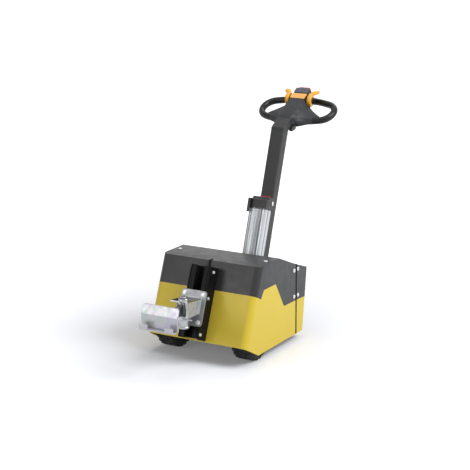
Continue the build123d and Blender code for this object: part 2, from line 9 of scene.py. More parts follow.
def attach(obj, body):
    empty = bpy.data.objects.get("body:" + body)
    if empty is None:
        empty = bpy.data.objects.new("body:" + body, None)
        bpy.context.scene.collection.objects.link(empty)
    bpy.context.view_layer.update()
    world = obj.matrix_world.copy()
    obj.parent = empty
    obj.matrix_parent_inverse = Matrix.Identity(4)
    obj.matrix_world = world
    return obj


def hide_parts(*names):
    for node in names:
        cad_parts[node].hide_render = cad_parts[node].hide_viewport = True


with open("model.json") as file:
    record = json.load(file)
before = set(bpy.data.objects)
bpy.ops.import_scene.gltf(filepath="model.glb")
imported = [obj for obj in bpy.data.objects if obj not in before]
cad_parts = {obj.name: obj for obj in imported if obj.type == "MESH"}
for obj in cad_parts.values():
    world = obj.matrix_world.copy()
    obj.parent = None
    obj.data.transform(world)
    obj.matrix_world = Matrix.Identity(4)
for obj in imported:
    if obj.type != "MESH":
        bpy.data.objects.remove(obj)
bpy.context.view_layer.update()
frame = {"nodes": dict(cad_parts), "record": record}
print("frame loaded")

mm = 0.001


# Places that the bodywork, the mast, the tiller and the head share, in millimetres and degrees
layout = {
    "bodyWidth": 456.0,
    "bodyHeight": 386.0,
    "frontTopY": -212.0,
    "frontBottomY": -331.0,
    "frontBottomZ": 85.0,
    "skirtZ": 30.0,
    "seamY": 86.0,
    "seamZ": 329.0,
    "seamGap": 4.0,
    "tillerLean": 18.5,
    "hingeY": 140.0,
    "hingeZ": 156.0,
    "headY": 527.0,
    "headZ": 882.0,
    "headPitch": 30.0,
}
frontSlope = (layout["frontTopY"] - layout["frontBottomY"]) / (layout["bodyHeight"] - layout["frontBottomZ"])
frontLean = math.degrees(math.atan(frontSlope))


def frameAt(origin, pitch, outward=False):
    # Origin and three axes of a local frame turned about the machine's cross axis.
    # The local y axis rises with the pitch, or for the mast leans back by it and z points out.
    c, s = math.cos(math.radians(pitch)), math.sin(math.radians(pitch))
    yAxis = (0, s, c) if outward else (0, c, s)
    zAxis = (0, -c, s) if outward else (0, -s, c)
    return np.array([origin, (1, 0, 0), yAxis, zAxis], float)


def tillerAxes():
    # Local z runs up the tiller and local y points behind it
    c, s = math.cos(math.radians(layout["tillerLean"])), math.sin(math.radians(layout["tillerLean"]))
    return np.array([(0, layout["hingeY"], layout["hingeZ"]), (1, 0, 0), (0, c, -s), (0, s, c)], float)


worldFrame = frameAt((0, 0, 0), 0)
mastFrame = frameAt((0, layout["frontTopY"], layout["bodyHeight"]), frontLean, outward=True)
headFrame = frameAt((0, layout["headY"], layout["headZ"]), layout["headPitch"])
tillerFrame = tillerAxes()


def placed(points, axes):
    # World points from local ones: origin plus each coordinate times its axis
    points = np.asarray(points, float)
    return axes[0] + points[..., :1] * axes[1] + points[..., 1:2] * axes[2] + points[..., 2:3] * axes[3]


def linear(r, g, b):
    # Display colour out of 255 as the linear colour that the shaders use
    c = np.array([r, g, b]) / 255
    c = np.where(c <= 0.04045, c / 12.92, ((c + 0.055) / 1.055) ** 2.4)
    return (*c.tolist(), 1.0)


# Materials


def newMaterial(name):
    material = bpy.data.materials.new(name)
    material.use_nodes = True
    nodes = material.node_tree.nodes
    shader = nodes["Principled BSDF"]
    coords = nodes.new("ShaderNodeTexCoord")
    return material, nodes, material.node_tree.links, shader, coords.outputs["Object"]


def noiseNode(nodes, links, vector, scale, detail=4.0, stretch=None):
    # Noise at a scale per metre, on coordinates that may be stretched along an axis
    if stretch:
        mapping = nodes.new("ShaderNodeMapping")
        mapping.inputs["Scale"].default_value = stretch
        links.new(vector, mapping.inputs["Vector"])
        vector = mapping.outputs["Vector"]
    noise = nodes.new("ShaderNodeTexNoise")
    noise.inputs["Scale"].default_value = scale
    noise.inputs["Detail"].default_value = detail
    links.new(vector, noise.inputs["Vector"])
    return noise.outputs["Fac"]


def mathNode(nodes, links, operation, a, b=None, c=None):
    node = nodes.new("ShaderNodeMath")
    node.operation = operation
    for socket, value in zip(node.inputs, (a, b, c)):
        if value is None:
            continue
        if isinstance(value, (int, float)):
            socket.default_value = value
        else:
            links.new(value, socket)
    return node.outputs[0]


def rangeNode(nodes, links, value, low, high, fromLow=0.35, fromHigh=0.65):
    node = nodes.new("ShaderNodeMapRange")
    node.inputs["From Min"].default_value = fromLow
    node.inputs["From Max"].default_value = fromHigh
    node.inputs["To Min"].default_value = low
    node.inputs["To Max"].default_value = high
    links.new(value, node.inputs["Value"])
    return node.outputs["Result"]


def mixColour(nodes, links, factor, a, b):
    node = nodes.new("ShaderNodeMix")
    node.data_type = "RGBA"
    for socket, value in ((node.inputs[0], factor), (node.inputs[6], a), (node.inputs[7], b)):
        if isinstance(value, (tuple, float)):
            socket.default_value = value
        else:
            links.new(value, socket)
    return node.outputs[2]


def bumpNode(nodes, links, height, distance, strength=1.0, normal=None):
    node = nodes.new("ShaderNodeBump")
    node.inputs["Distance"].default_value = distance
    node.inputs["Strength"].default_value = strength
    links.new(height, node.inputs["Height"])
    if normal is not None:
        links.new(normal, node.inputs["Normal"])
    return node.outputs["Normal"]


# Columns: colour and second colour out of 255, metallic, low and high roughness,
# patches per metre, grain per metre, grain depth in metres, coat
finishTable = {
    "framePaint": ((38, 38, 40), (31, 31, 33), 0.0, 0.42, 0.55, 9, 900, 0.00002, 0.1),
    "mastPaint": ((22, 22, 24), (16, 16, 17), 0.0, 0.34, 0.46, 14, 700, 0.00002, 0.0),
    "tillerPaint": ((58, 58, 59), (51, 51, 52), 0.0, 0.45, 0.56, 10, 800, 0.00003, 0.0),
    "castPaint": ((62, 62, 64), (50, 50, 52), 0.2, 0.5, 0.7, 20, 350, 0.00018, 0.0),
    "brightSteel": ((186, 187, 190), (165, 166, 170), 1.0, 0.2, 0.34, 40, 1600, 0.00001, 0.0),
    "paleSteel": ((232, 233, 235), (214, 215, 218), 0.4, 0.25, 0.36, 40, 1600, 0.00001, 0.0),
    "wheelAlloy": ((150, 152, 156), (132, 134, 138), 0.9, 0.35, 0.5, 24, 500, 0.00004, 0.0),
    "blackPlastic": ((19, 19, 21), (13, 13, 15), 0.0, 0.36, 0.5, 12, 1500, 0.00003, 0.0),
    "gripPlastic": ((10, 10, 11), (7, 7, 8), 0.0, 0.28, 0.4, 10, 1400, 0.00002, 0.1),
    "consolePlastic": ((47, 48, 51), (41, 42, 45), 0.0, 0.42, 0.54, 12, 1500, 0.00004, 0.0),
    "padPlastic": ((78, 80, 92), (70, 72, 84), 0.0, 0.4, 0.5, 12, 1200, 0.00003, 0.0),
    "orangePlastic": ((246, 178, 44), (238, 166, 34), 0.0, 0.3, 0.4, 14, 900, 0.00001, 0.2),
    "labelFilm": ((248, 184, 96), (243, 174, 84), 0.0, 0.3, 0.36, 30, 600, 0.000005, 0.3),
    "lockPlastic": ((232, 234, 236), (220, 222, 226), 0.3, 0.3, 0.4, 20, 900, 0.00001, 0.1),
    # Near-black strip over the hood's seam: painted shade of the gap between hood and tail
    "seamShadeBlack": ((7, 7, 8), (5, 5, 6), 0.0, 0.7, 0.8, 12, 1400, 0.00002, 0.0),
    "redPlastic": ((196, 36, 48), (178, 28, 40), 0.0, 0.28, 0.38, 20, 900, 0.00001, 0.2),
}


def plainFinish(name, colour, second, metallic, roughLow, roughHigh, patch, grain, depth, coat):
    # Two close colours in soft patches, roughness that follows them, and a fine grain in the bump
    material, nodes, links, shader, where = newMaterial(name)
    patches = noiseNode(nodes, links, where, patch, 3.0)
    base = mixColour(nodes, links, patches, linear(*colour), linear(*second))
    links.new(base, shader.inputs["Base Color"])
    shader.inputs["Metallic"].default_value = metallic
    shader.inputs["Coat Weight"].default_value = coat
    shader.inputs["Coat Roughness"].default_value = 0.2
    rough = rangeNode(nodes, links, noiseNode(nodes, links, where, patch * 6), roughLow, roughHigh)
    links.new(rough, shader.inputs["Roughness"])
    fine = noiseNode(nodes, links, where, grain, 2.0)
    links.new(bumpNode(nodes, links, fine, depth), shader.inputs["Normal"])
    return material


finishes = {name: plainFinish(name, *row) for name, row in finishTable.items()}
# Finishes with less sheen than the shader's own
dullFinishes = {
    "mastPaint": 0.1,
    "seamShadeBlack": 0.1,
    "gripPlastic": 0.25,
    "tillerPaint": 0.3,
    "consolePlastic": 0.3,
}
for name, sheen in dullFinishes.items():
    finishes[name].node_tree.nodes["Principled BSDF"].inputs["Specular IOR Level"].default_value = sheen

paintFacts = {
    "yellow": linear(229, 203, 68),
    "yellowShade": linear(223, 196, 60),
    "grey": linear(46, 46, 47),
    "greyShade": linear(42, 42, 43),
    "edgeWidth": 0.0006,
    # Height of the paint's edge along the side; columns: y, z
    "edge": [(-255, 279), (-208, 256), (-184, 288), (-88, 288), (-18, 178), (87, 176), (182, 172)],
}


def bodyPaint():
    # Grey over yellow; the edge's height is a chain of straight runs:
    # the first height plus, for each corner, the change of slope times the distance past it
    material, nodes, links, shader, where = newMaterial("bodyPaint")
    split = nodes.new("ShaderNodeSeparateXYZ")
    links.new(where, split.inputs[0])
    y, z = split.outputs["Y"], split.outputs["Z"]
    edge = np.array(paintFacts["edge"]) * mm
    slopes = np.diff(edge[:, 1]) / np.diff(edge[:, 0])
    height = float(edge[0, 1])
    for start, change in zip(edge[:-1, 0], np.diff(slopes, prepend=0.0)):
        past = mathNode(nodes, links, "MAXIMUM", mathNode(nodes, links, "SUBTRACT", y, float(start)), 0.0)
        height = mathNode(nodes, links, "MULTIPLY_ADD", past, float(change), height)
    above = mathNode(nodes, links, "SUBTRACT", z, height)
    isGrey = rangeNode(nodes, links, above, 0.0, 1.0, -paintFacts["edgeWidth"], paintFacts["edgeWidth"])
    patches = noiseNode(nodes, links, where, 7.0, 3.0)
    yellow = mixColour(nodes, links, patches, paintFacts["yellow"], paintFacts["yellowShade"])
    grey = mixColour(nodes, links, patches, paintFacts["grey"], paintFacts["greyShade"])
    links.new(mixColour(nodes, links, isGrey, yellow, grey), shader.inputs["Base Color"])
    rough = rangeNode(nodes, links, noiseNode(nodes, links, where, 30.0), 0.36, 0.46)
    links.new(rough, shader.inputs["Roughness"])
    shader.inputs["Specular IOR Level"].default_value = 0.35
    shader.inputs["Coat Weight"].default_value = 0.08
    shader.inputs["Coat Roughness"].default_value = 0.25
    peel = noiseNode(nodes, links, where, 420.0, 2.0)
    links.new(bumpNode(nodes, links, peel, 0.00003), shader.inputs["Normal"])
    return material


# Tints of the plating: columns are place in the ramp and colour out of 255
zincTints = [
    (0.3, (212, 220, 230)),
    (0.42, (214, 224, 222)),
    (0.52, (226, 226, 227)),
    (0.62, (222, 216, 230)),
    (0.75, (210, 219, 230)),
]


def zincFinish(name, metallic, roughLow, roughHigh, level):
    # Zinc plating: pale metal with broad, faint pink, green and blue tints, and fine spangle
    material, nodes, links, shader, where = newMaterial(name)
    tint = nodes.new("ShaderNodeValToRGB")
    ramp = tint.color_ramp
    while len(ramp.elements) < len(zincTints):
        ramp.elements.new(0.5)
    for element, (place, colour) in zip(ramp.elements, zincTints):
        element.position = place
        element.color = linear(*[c * level for c in colour])
    links.new(noiseNode(nodes, links, where, 16.0, 2.0), tint.inputs["Fac"])
    links.new(tint.outputs["Color"], shader.inputs["Base Color"])
    shader.inputs["Metallic"].default_value = metallic
    rough = rangeNode(nodes, links, noiseNode(nodes, links, where, 60.0), roughLow, roughHigh)
    links.new(rough, shader.inputs["Roughness"])
    bump = bumpNode(nodes, links, noiseNode(nodes, links, where, 90.0, 2.0), 0.00002)
    links.new(bump, shader.inputs["Normal"])
    return material


def rubberFinish(name, colour):
    # Rubber: near black, matt, with a faint dusty mottling and a fine moulded grain
    material, nodes, links, shader, where = newMaterial(name)
    dust = noiseNode(nodes, links, where, 24.0, 6.0)
    base = mixColour(nodes, links, dust, linear(*colour), linear(*[c + 12 for c in colour]))
    links.new(base, shader.inputs["Base Color"])
    links.new(rangeNode(nodes, links, dust, 0.62, 0.8), shader.inputs["Roughness"])
    links.new(bumpNode(nodes, links, noiseNode(nodes, links, where, 800.0), 0.00008), shader.inputs["Normal"])
    return material


def alloyWithPaintedReflections(name, colour, second):
    # Extruded aluminium: fine lines along the extrusion, and broad light and dark bands in the colour that
    # are painted reflections of the studio; the extrusion leans with the tiller
    material, nodes, links, shader, where = newMaterial(name)
    lean = nodes.new("ShaderNodeMapping")
    lean.inputs["Rotation"].default_value = (math.radians(layout["tillerLean"]), 0, 0)
    links.new(where, lean.inputs["Vector"])
    lines = noiseNode(nodes, links, lean.outputs["Vector"], 500.0, 3.0, stretch=(1, 1, 0.02))
    # Broad bands along the extrusion: painted reflections, light and dark, mixed into the base colour
    bands = noiseNode(nodes, links, lean.outputs["Vector"], 130.0, 1.0, stretch=(1, 1, 0.01))
    shade = mathNode(nodes, links, "MULTIPLY_ADD", bands, 3.2, -1.1)
    shade.node.use_clamp = True
    base = mixColour(nodes, links, shade, linear(*colour), linear(*second))
    links.new(base, shader.inputs["Base Color"])
    shader.inputs["Metallic"].default_value = 0.6
    links.new(rangeNode(nodes, links, lines, 0.3, 0.42), shader.inputs["Roughness"])
    links.new(bumpNode(nodes, links, lines, 0.00002), shader.inputs["Normal"])
    return material


finishes["bodyPaint"] = bodyPaint()
finishes["zinc"] = zincFinish("zinc", 0.5, 0.3, 0.44, 0.84)
finishes["zincPlate"] = zincFinish("zincPlate", 0.4, 0.3, 0.44, 0.66)
finishes["zincMirror"] = zincFinish("zincMirror", 1.0, 0.05, 0.12, 0.86)
finishes["zincCool"] = zincFinish("zincCool", 0.2, 0.25, 0.4, 0.8)
finishes["tyreRubber"] = rubberFinish("tyreRubber", (14, 14, 15))
finishes["castorRubber"] = rubberFinish("castorRubber", (58, 58, 60))
# Battery case: pale alloy with dark bands of painted reflection
finishes["batteryAlloy"] = alloyWithPaintedReflections("batteryAlloy", (202, 205, 208), (112, 114, 118))
print("finishes made:", len(finishes))

# Where each CAD node belongs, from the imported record
bodyOf = {node: body for body, nodes in frame["record"]["behaviour"]["bodies"].items() for node in nodes}
slotOf = {row["node"]: row["material_slot"] for row in frame["record"]["subparts"]}


def finishMesh(name, mesh, finish, body, slot, stands=(), bevel=0.0, segments=3, sharp=32.0):
    # Closed seams, faces outwards, smooth shading with sharp folds, rounded edges, then tied to its body
    shape = bmesh.new()
    shape.from_mesh(mesh)
    bmesh.ops.remove_doubles(shape, verts=shape.verts, dist=0.00001)
    bmesh.ops.recalc_face_normals(shape, faces=shape.faces)
    shape.to_mesh(mesh)
    shape.free()
    mesh.polygons.foreach_set("use_smooth", np.ones(len(mesh.polygons), bool))
    mesh.set_sharp_from_angle(angle=math.radians(sharp))
    mesh.materials.clear()
    mesh.materials.append(finishes[finish])
    piece = bpy.data.objects.new(name, mesh)
    bpy.context.scene.collection.objects.link(piece)
    if bevel:
        edge = piece.modifiers.new("edge", "BEVEL")
        edge.width = bevel * mm
        edge.segments = segments
        edge.limit_method = "ANGLE"
        edge.angle_limit = math.radians(sharp)
        edge.harden_normals = True
    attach(piece, body)
    if stands:
        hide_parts(*stands)
    return piece


def addPiece(name, shape, finish, body, slot, **options):
    # A piece from a pair: world points in millimetres, and faces
    points, faces = shape
    mesh = bpy.data.meshes.new(name)
    faces = faces if isinstance(faces, list) else faces.tolist()
    mesh.from_pydata((np.asarray(points, float).reshape(-1, 3) * mm).tolist(), [], faces)
    return finishMesh(name, mesh, finish, body, slot, **options)


def addLook(node, shape, finish, **options):
    # A piece that stands for a CAD node, on the same body
    stands = (node,)
    return addPiece(node + "_look", shape, finish, bodyOf[node], slotOf[node], stands=stands, **options)


def roundedCopy(node, finish, bevel, segments=3, sharp=32.0):
    # A CAD node's own surface with its doubles merged, flat areas joined and folds rounded
    mesh = frame["nodes"][node].data.copy()
    if "custom_normal" in mesh.attributes:
        mesh.attributes.remove(mesh.attributes["custom_normal"])
    shape = bmesh.new()
    shape.from_mesh(mesh)
    bmesh.ops.remove_doubles(shape, verts=shape.verts, dist=0.00002)
    bmesh.ops.dissolve_limit(shape, angle_limit=math.radians(0.6), verts=shape.verts, edges=shape.edges)
    shape.to_mesh(mesh)
    shape.free()
    edges = {"bevel": bevel, "segments": segments, "sharp": sharp}
    return finishMesh(node + "_look", mesh, finish, bodyOf[node], slotOf[node], stands=(node,), **edges)


def gridFaces(rows, columns, closeRows=False, closeColumns=False):
    # Quads of a grid of points, where row i and column j is point i * columns + j
    i = np.arange(rows if closeRows else rows - 1)[:, None]
    j = np.arange(columns if closeColumns else columns - 1)[None, :]
    nextRow, nextColumn = (i + 1) % rows, (j + 1) % columns
    here, there = i * columns, nextRow * columns
    corners = [here + j, here + nextColumn, there + nextColumn, there + j]
    return np.stack(corners, axis=-1).reshape(-1, 4)


def cappedFaces(rows, columns):
    # Faces of a tube of rings with a face over each end
    ends = [list(range(columns)), list(range(columns * (rows - 1), columns * rows))]
    return gridFaces(rows, columns, closeColumns=True).tolist() + ends


def ringAngles(columns):
    return np.arange(columns) * 2 * math.pi / columns


def turned(profile, columns, centre=(0, 0, 0), alongX=False, stretch=(1, 1)):
    # Rings from rows of radius and height: radius times cosine and sine across the axis, height along it
    profile = np.asarray(profile, float)
    angle = ringAngles(columns)
    across = profile[:, :1] * stretch[0] * np.cos(angle)
    upwards = profile[:, :1] * stretch[1] * np.sin(angle)
    height = profile[:, 1:] + 0 * angle
    rings = (height, across, upwards) if alongX else (across, upwards, height)
    return np.stack(rings, axis=-1).reshape(-1, 3) + centre


def slabs(rows, axes):
    # Joined boxes in a local frame; columns: low and high of each axis
    rows = np.asarray(rows, float).reshape(-1, 3, 2)
    pick = np.array([(a, b, c) for a in (0, 1) for b in (0, 1) for c in (0, 1)])
    corners = rows[:, np.arange(3)[None, :], pick]
    sides = np.array([(0, 1, 3, 2), (4, 6, 7, 5), (0, 4, 5, 1), (2, 3, 7, 6), (0, 2, 6, 4), (1, 5, 7, 3)])
    faces = sides[None] + 8 * np.arange(len(rows))[:, None, None]
    return placed(corners.reshape(-1, 3), axes), faces.reshape(-1, 4)


def prism(outline, low, high, axes, across=0):
    # Closed outline in two of a frame's axes, carried along the third from low to high
    outline = np.asarray(outline, float)
    count = len(outline)
    others = [k for k in range(3) if k != across]
    points = np.zeros((2, count, 3))
    points[:, :, others] = outline
    points[0, :, across], points[1, :, across] = low, high
    faces = gridFaces(2, count, closeColumns=True).tolist()
    faces += [list(range(count))[::-1], list(range(count, 2 * count))]
    return placed(points.reshape(-1, 3), axes), faces


def joined(parts):
    # Several (points, faces) pairs as one
    points, faces, start = [], [], 0
    for somePoints, someFaces in parts:
        points.append(np.asarray(somePoints).reshape(-1, 3))
        faces += [[int(v) + start for v in face] for face in someFaces]
        start += len(points[-1])
    return np.concatenate(points), faces


def arcPoints(centre, radius, start, stop, count):
    # Points of a round arc, angles in degrees
    angles = np.radians(np.linspace(start, stop, count))
    return np.stack([centre[0] + radius * np.cos(angles), centre[1] + radius * np.sin(angles)], axis=1)


# Fixings: columns are radius, height and how far the ring is a hexagon, from 0 to 1
headTables = {
    "socketScrew": [
        (0.1, 0, 0), (8.2, 0, 0), (8.4, 1.4, 0), (7.8, 2.8, 0), (5.8, 3.6, 0),
        (3.5, 3.6, 1), (3.2, 3.3, 1), (3.1, 1.4, 1), (0, 1.4, 0),
    ],
    "hexBolt": [
        (0.1, 0, 0), (9.4, 0, 0), (9.6, 0.6, 0), (9.2, 1.7, 0), (6.9, 1.8, 0),
        (7.0, 2.0, 1), (7.0, 6.2, 1), (6.4, 7.0, 0.6), (5.6, 7.2, 0), (0, 7.2, 0),
    ],
    "smallBolt": [
        (0.1, 0, 0), (6.6, 0, 0), (6.8, 0.5, 0), (6.4, 1.2, 0), (4.9, 1.3, 0),
        (5.0, 1.5, 1), (5.0, 4.6, 1), (4.5, 5.2, 0.6), (3.9, 5.3, 0), (0, 5.3, 0),
    ],
}


def fixings(kind, places, normals, columns=36):
    # Turned heads: radius is a circle's, or a hexagon's apothem over the cosine of the angle from its flat
    rows = np.array(headTables[kind], float)
    angle = ringAngles(columns)
    fromFlat = (angle + math.pi / 6) % (math.pi / 3) - math.pi / 6
    hexagon = 1 / np.cos(fromFlat)
    radius = rows[:, :1] * (1 + rows[:, 2:] * (hexagon[None, :] - 1))
    places, normals = np.asarray(places, float), np.asarray(normals, float)
    normals = normals / np.linalg.norm(normals, axis=1, keepdims=True)
    helper = np.where(np.abs(normals[:, 2:]) > 0.9, [[1.0, 0, 0]], [[0, 0, 1.0]])
    first = np.cross(helper, normals)
    first /= np.linalg.norm(first, axis=1, keepdims=True)
    second = np.cross(normals, first)
    out = (radius * np.cos(angle))[None, :, :, None] * first[:, None, None]
    out = out + (radius * np.sin(angle))[None, :, :, None] * second[:, None, None]
    points = places[:, None, None] + out + rows[None, :, 1, None, None] * normals[:, None, None]
    faces = gridFaces(len(rows), columns, closeColumns=True)
    faces = faces[None] + (len(rows) * columns * np.arange(len(places)))[:, None, None]
    return points.reshape(-1, 3), faces.reshape(-1, 4)


# Bodywork

# Node, finish, edge radius in millimetres and segments of the rounded edges
roundedTable = [
    ("hood", "bodyPaint", 1.3, 3),
    ("tail_cover", "bodyPaint", 1.3, 3),
    ("deck", "framePaint", 1.5, 2),
    ("front_bulkhead", "framePaint", 1.2, 2),
    ("drive_housing", "castPaint", 3.0, 3),
    ("drive_motor", "framePaint", 3.0, 3),
    ("ballast", "castPaint", 4.0, 3),
    ("castor_head", "framePaint", 1.0, 2),
    ("castor_fork", "framePaint", 0.8, 2),
    ("castor_pin", "brightSteel", 0.7, 2),
    ("castor_wheel", "blackPlastic", 1.0, 2),
    ("castor_tyre", "castorRubber", 1.5, 3),
    ("tiller_foot", "framePaint", 1.2, 2),
    ("tiller_pin", "brightSteel", 0.8, 2),
    ("tiller_tube", "tillerPaint", 0.8, 2),
    ("tiller_neck", "tillerPaint", 2.5, 4),
    ("battery_cradle", "framePaint", 1.0, 2),
    ("battery", "batteryAlloy", 0.7, 2),
    ("battery_latch", "blackPlastic", 1.0, 3),
    ("battery_lens", "redPlastic", 1.4, 3),
    ("drive_wheel_left", "wheelAlloy", 1.6, 3),
    ("drive_wheel_right", "wheelAlloy", 1.6, 3),
    ("mast", "mastPaint", 1.2, 3),
    ("hitch_slider", "brightSteel", 0.8, 2),
    ("hitch_plate", "zincPlate", 1.2, 3),
    ("hitch_pin", "brightSteel", 1.6, 3),
    ("hitch_tongue", "zincPlate", 1.5, 3),
    ("push_plate", "zinc", 1.5, 3),
]
# Shallow folds that stay crisp: the least angle that counts as a fold
crispFolds = {"push_plate": 12.0}
for node, finish, bevel, segments in roundedTable:
    roundedCopy(node, finish, bevel, segments, crispFolds.get(node, 32.0))
print("rounded nodes:", len(roundedTable))

hoodFacts = {
    "sideScrews": [(68, 306), (101, 306), (69, 195), (102, 195)],
    "topScrews": [(-200, -121), (200, -121)],
    "headSink": 0.2,
    "shadeSheetHalf": 78.0,
    "shadeSheetFront": 132.0,
    "shadeSheetBack": 152.6,
    "shadeSheetLow": 105.0,
    "shadeSheetHigh": 127.8,
    "shadeStripWidth": 10.0,
    "shadeStripProud": 0.4,
    "shadeStripDepth": 5.0,
    "shadeSheetWall": 3.0,
    "topFall": 21.0,
}


def makeHoodScrews():
    # Socket screws beside the seam on both sides, and two on the top
    half = layout["bodyWidth"] / 2 - hoodFacts["headSink"]
    places = [(side * half, y, z) for side in (-1, 1) for y, z in hoodFacts["sideScrews"]]
    normals = [(math.copysign(1, x), 0, 0) for x, y, z in places]
    top = layout["bodyHeight"] - hoodFacts["headSink"]
    places += [(x, y, top) for x, y in hoodFacts["topScrews"]]
    normals += [(0, 0, 1)] * len(hoodFacts["topScrews"])
    shape = fixings("socketScrew", places, normals)
    addPiece("hood_screws", shape, "paleSteel", "chassis", "bright_steel", sharp=25)


def makeSlotShadeSheet():
    # Folded dark sheet that closes the tiller's slot below the deck's rear edge: painted shade that hides the
    # floor seen through the slot
    half, front, back = hoodFacts["shadeSheetHalf"], hoodFacts["shadeSheetFront"], hoodFacts["shadeSheetBack"]
    low, high, wall = hoodFacts["shadeSheetLow"], hoodFacts["shadeSheetHigh"], hoodFacts["shadeSheetWall"]
    width = (-half, half)
    rows = [(width, (front, back), (low, low + wall)), (width, (front, front + wall), (low, high))]
    shape = slabs(rows, worldFrame)
    addPiece("tail_slot_shade_sheet", shape, "framePaint", "chassis", "mast_paint", bevel=0.5, segments=2)


def makeSeamShadeStrip():
    # Black strip over the gap between hood and tail, on both sides and across the top: painted shade that
    # darkens the seam
    half, low, top = layout["bodyWidth"] / 2, layout["skirtZ"] + 1, layout["seamZ"] + 0.2
    middle = layout["seamY"] + layout["seamGap"] / 2
    reach, proud, depth = hoodFacts["shadeStripWidth"] / 2, hoodFacts["shadeStripProud"], hoodFacts["shadeStripDepth"]
    fall = math.tan(math.radians(hoodFacts["topFall"]))
    parts = []
    for side in (-1, 1):
        lowX, highX = sorted((side * (half - depth), side * (half + proud)))
        outline = [(middle - reach, low), (middle + reach, low)]
        outline += [(middle + reach, top - reach * fall), (middle - reach, top + reach * fall)]
        parts.append(prism(outline, lowX, highX, worldFrame))
    across = [(middle - reach, top + reach * fall + proud), (middle + reach, top - reach * fall + proud)]
    across += [(y, z - depth) for y, z in across[::-1]]
    parts.append(prism(across, -half - proud, half + proud, worldFrame))
    shape = joined(parts)
    addPiece("seam_shade_strip", shape, "seamShadeBlack", "chassis", "black_plastic", bevel=0.2, segments=2)


makeHoodScrews()
makeSlotShadeSheet()
makeSeamShadeStrip()

# Tyres

tyreFacts = {
    "radius": 100.0,
    "width": 80.0,
    "track": 351.0,
    "axleY": -197.0,
    "rimRadius": 61.5,
    "lugDepth": 5.5,
    "lugs": 24,
    "shoulder": 14.0,
}


def tyreSurface():
    # Columns run round the wheel, four to a lug; rows run across it, from bead to bead.
    # A lug stands where its turn of the pattern is on: the middle row is half a pitch behind the outer ones
    facts = tyreFacts
    half, radius, shoulder = facts["width"] / 2, facts["radius"], facts["shoulder"]
    side = [(facts["rimRadius"], half - shoulder / 2), (facts["rimRadius"] + 6, half - 4)]
    side += [(radius - 24, half), (radius - shoulder, half - 0.5)]
    flank = [(radius - 7, half - 2.5), (radius - 5.5, half - 4.5)]
    crown = [(radius, half - s) for s in (6.5, 22.0, 24.0, 28.0, 30.0)]
    right = side + flank + crown
    rows = np.array(right + [(r, -x) for r, x in reversed(right)])
    outerRow = (np.abs(rows[:, 1]) > half - 22.5) & (rows[:, 0] > radius - 8)
    middleRow = np.abs(rows[:, 1]) < half - 29
    step = np.array([0.0, 0.1, 0.56, 0.66])
    angle = ((np.arange(facts["lugs"])[:, None] + step) * 2 * math.pi / facts["lugs"]).reshape(-1)
    outerOn = np.tile([0.0, 1.0, 1.0, 0.0], facts["lugs"])
    sunk = np.where(rows[:, 0] > radius - 8, facts["lugDepth"], 0.0)
    raised = np.where(outerRow[:, None], outerOn[None, :], 0.0)
    raised = raised + np.where(middleRow[:, None], 1 - outerOn[None, :], 0.0)
    r = rows[:, :1] - sunk[:, None] * (1 - raised)
    x = np.broadcast_to(rows[:, 1:], r.shape)
    return np.stack([x, r * np.sin(angle), r * np.cos(angle)], axis=-1)


def makeTyres():
    surface = tyreSurface()
    rows, columns = surface.shape[:2]
    faces = gridFaces(rows, columns, closeRows=True, closeColumns=True)
    for name, side in (("left", -1), ("right", 1)):
        centre = (side * tyreFacts["track"] / 2, tyreFacts["axleY"], tyreFacts["radius"])
        points = surface.reshape(-1, 3) + centre
        addLook(f"drive_tyre_{name}", (points, faces), "tyreRubber", bevel=0.5, segments=2, sharp=24)


makeTyres()
print("bodywork and tyres made")

# Mast

mastFacts = {
    "halfWidth": 44.0,
    "depth": 62.0,
    "top": 28.0,
    "bottom": 316.0,
    "cheekThickness": 1.6,
    "cheekTop": 30.0,
    "cheekRadius": 20.0,
    "sideBolts": [(49, 37), (154, 42), (299, 52)],
    "slotHalf": 18.0,
    "groove": (37.0, 40.5),
    "lipHeight": 2.4,
    "strapWidth": 9.0,
    # Distance in front of the hood's edge, and height over its top
    "strapLine": [
        (-16, 0.2), (-16, 2.0), (-1.5, 2.4), (1.2, 1.6), (2.4, -1), (3.0, -16),
        (10, -20), (10, -22), (1.2, -18), (0.4, -1.2), (-0.8, 0.2),
    ],
}


def makeMastTrim():
    # Round-topped cheek plates on both sides, thin ribs on the front and bolts through the cheeks
    facts = mastFacts
    depth, bottom = facts["depth"] + 2, facts["bottom"] + 4
    top, radius = facts["cheekTop"], facts["cheekRadius"]
    behind = arcPoints((-top - radius, radius + 1), radius, -90, 0, 9)
    crown = arcPoints((-top - radius, depth - radius), radius, 0, 90, 9)
    outline = np.concatenate([[(-bottom, 1)], behind, crown, [(-bottom, depth)]])
    parts = []
    for side in (-1, 1):
        low, high = sorted((side * facts["halfWidth"], side * (facts["halfWidth"] + facts["cheekThickness"])))
        parts.append(prism(outline, low, high, mastFrame))
    shape = joined(parts)
    addPiece("mast_cheeks", shape, "mastPaint", "chassis", "mast_paint", bevel=0.8, sharp=20)
    # Folded lips beside the slot and rounded beads at the front corners leave a dark groove between them
    inner, outer = facts["groove"]
    lips = []
    for side in (-1, 1):
        for x0, x1 in ((facts["slotHalf"], inner), (outer, facts["halfWidth"])):
            low, high = sorted((side * x0, side * x1))
            span = (-facts["bottom"], -facts["top"] - 1)
            lips.append(((low, high), span, (facts["depth"] - 0.5, facts["depth"] + facts["lipHeight"])))
    shape = slabs(lips, mastFrame)
    addPiece("mast_lips", shape, "mastPaint", "chassis", "mast_paint", bevel=1.1, segments=3)
    face = facts["halfWidth"] + facts["cheekThickness"] - 0.2
    bolts = [(side * face, -down, out) for side in (-1, 1) for down, out in facts["sideBolts"]]
    places = placed(bolts, mastFrame)
    normals = [(math.copysign(1, x), 0, 0) for x, along, out in bolts]
    shape = fixings("smallBolt", places, normals)
    addPiece("mast_bolts", shape, "paleSteel", "chassis", "bright_steel", sharp=25)


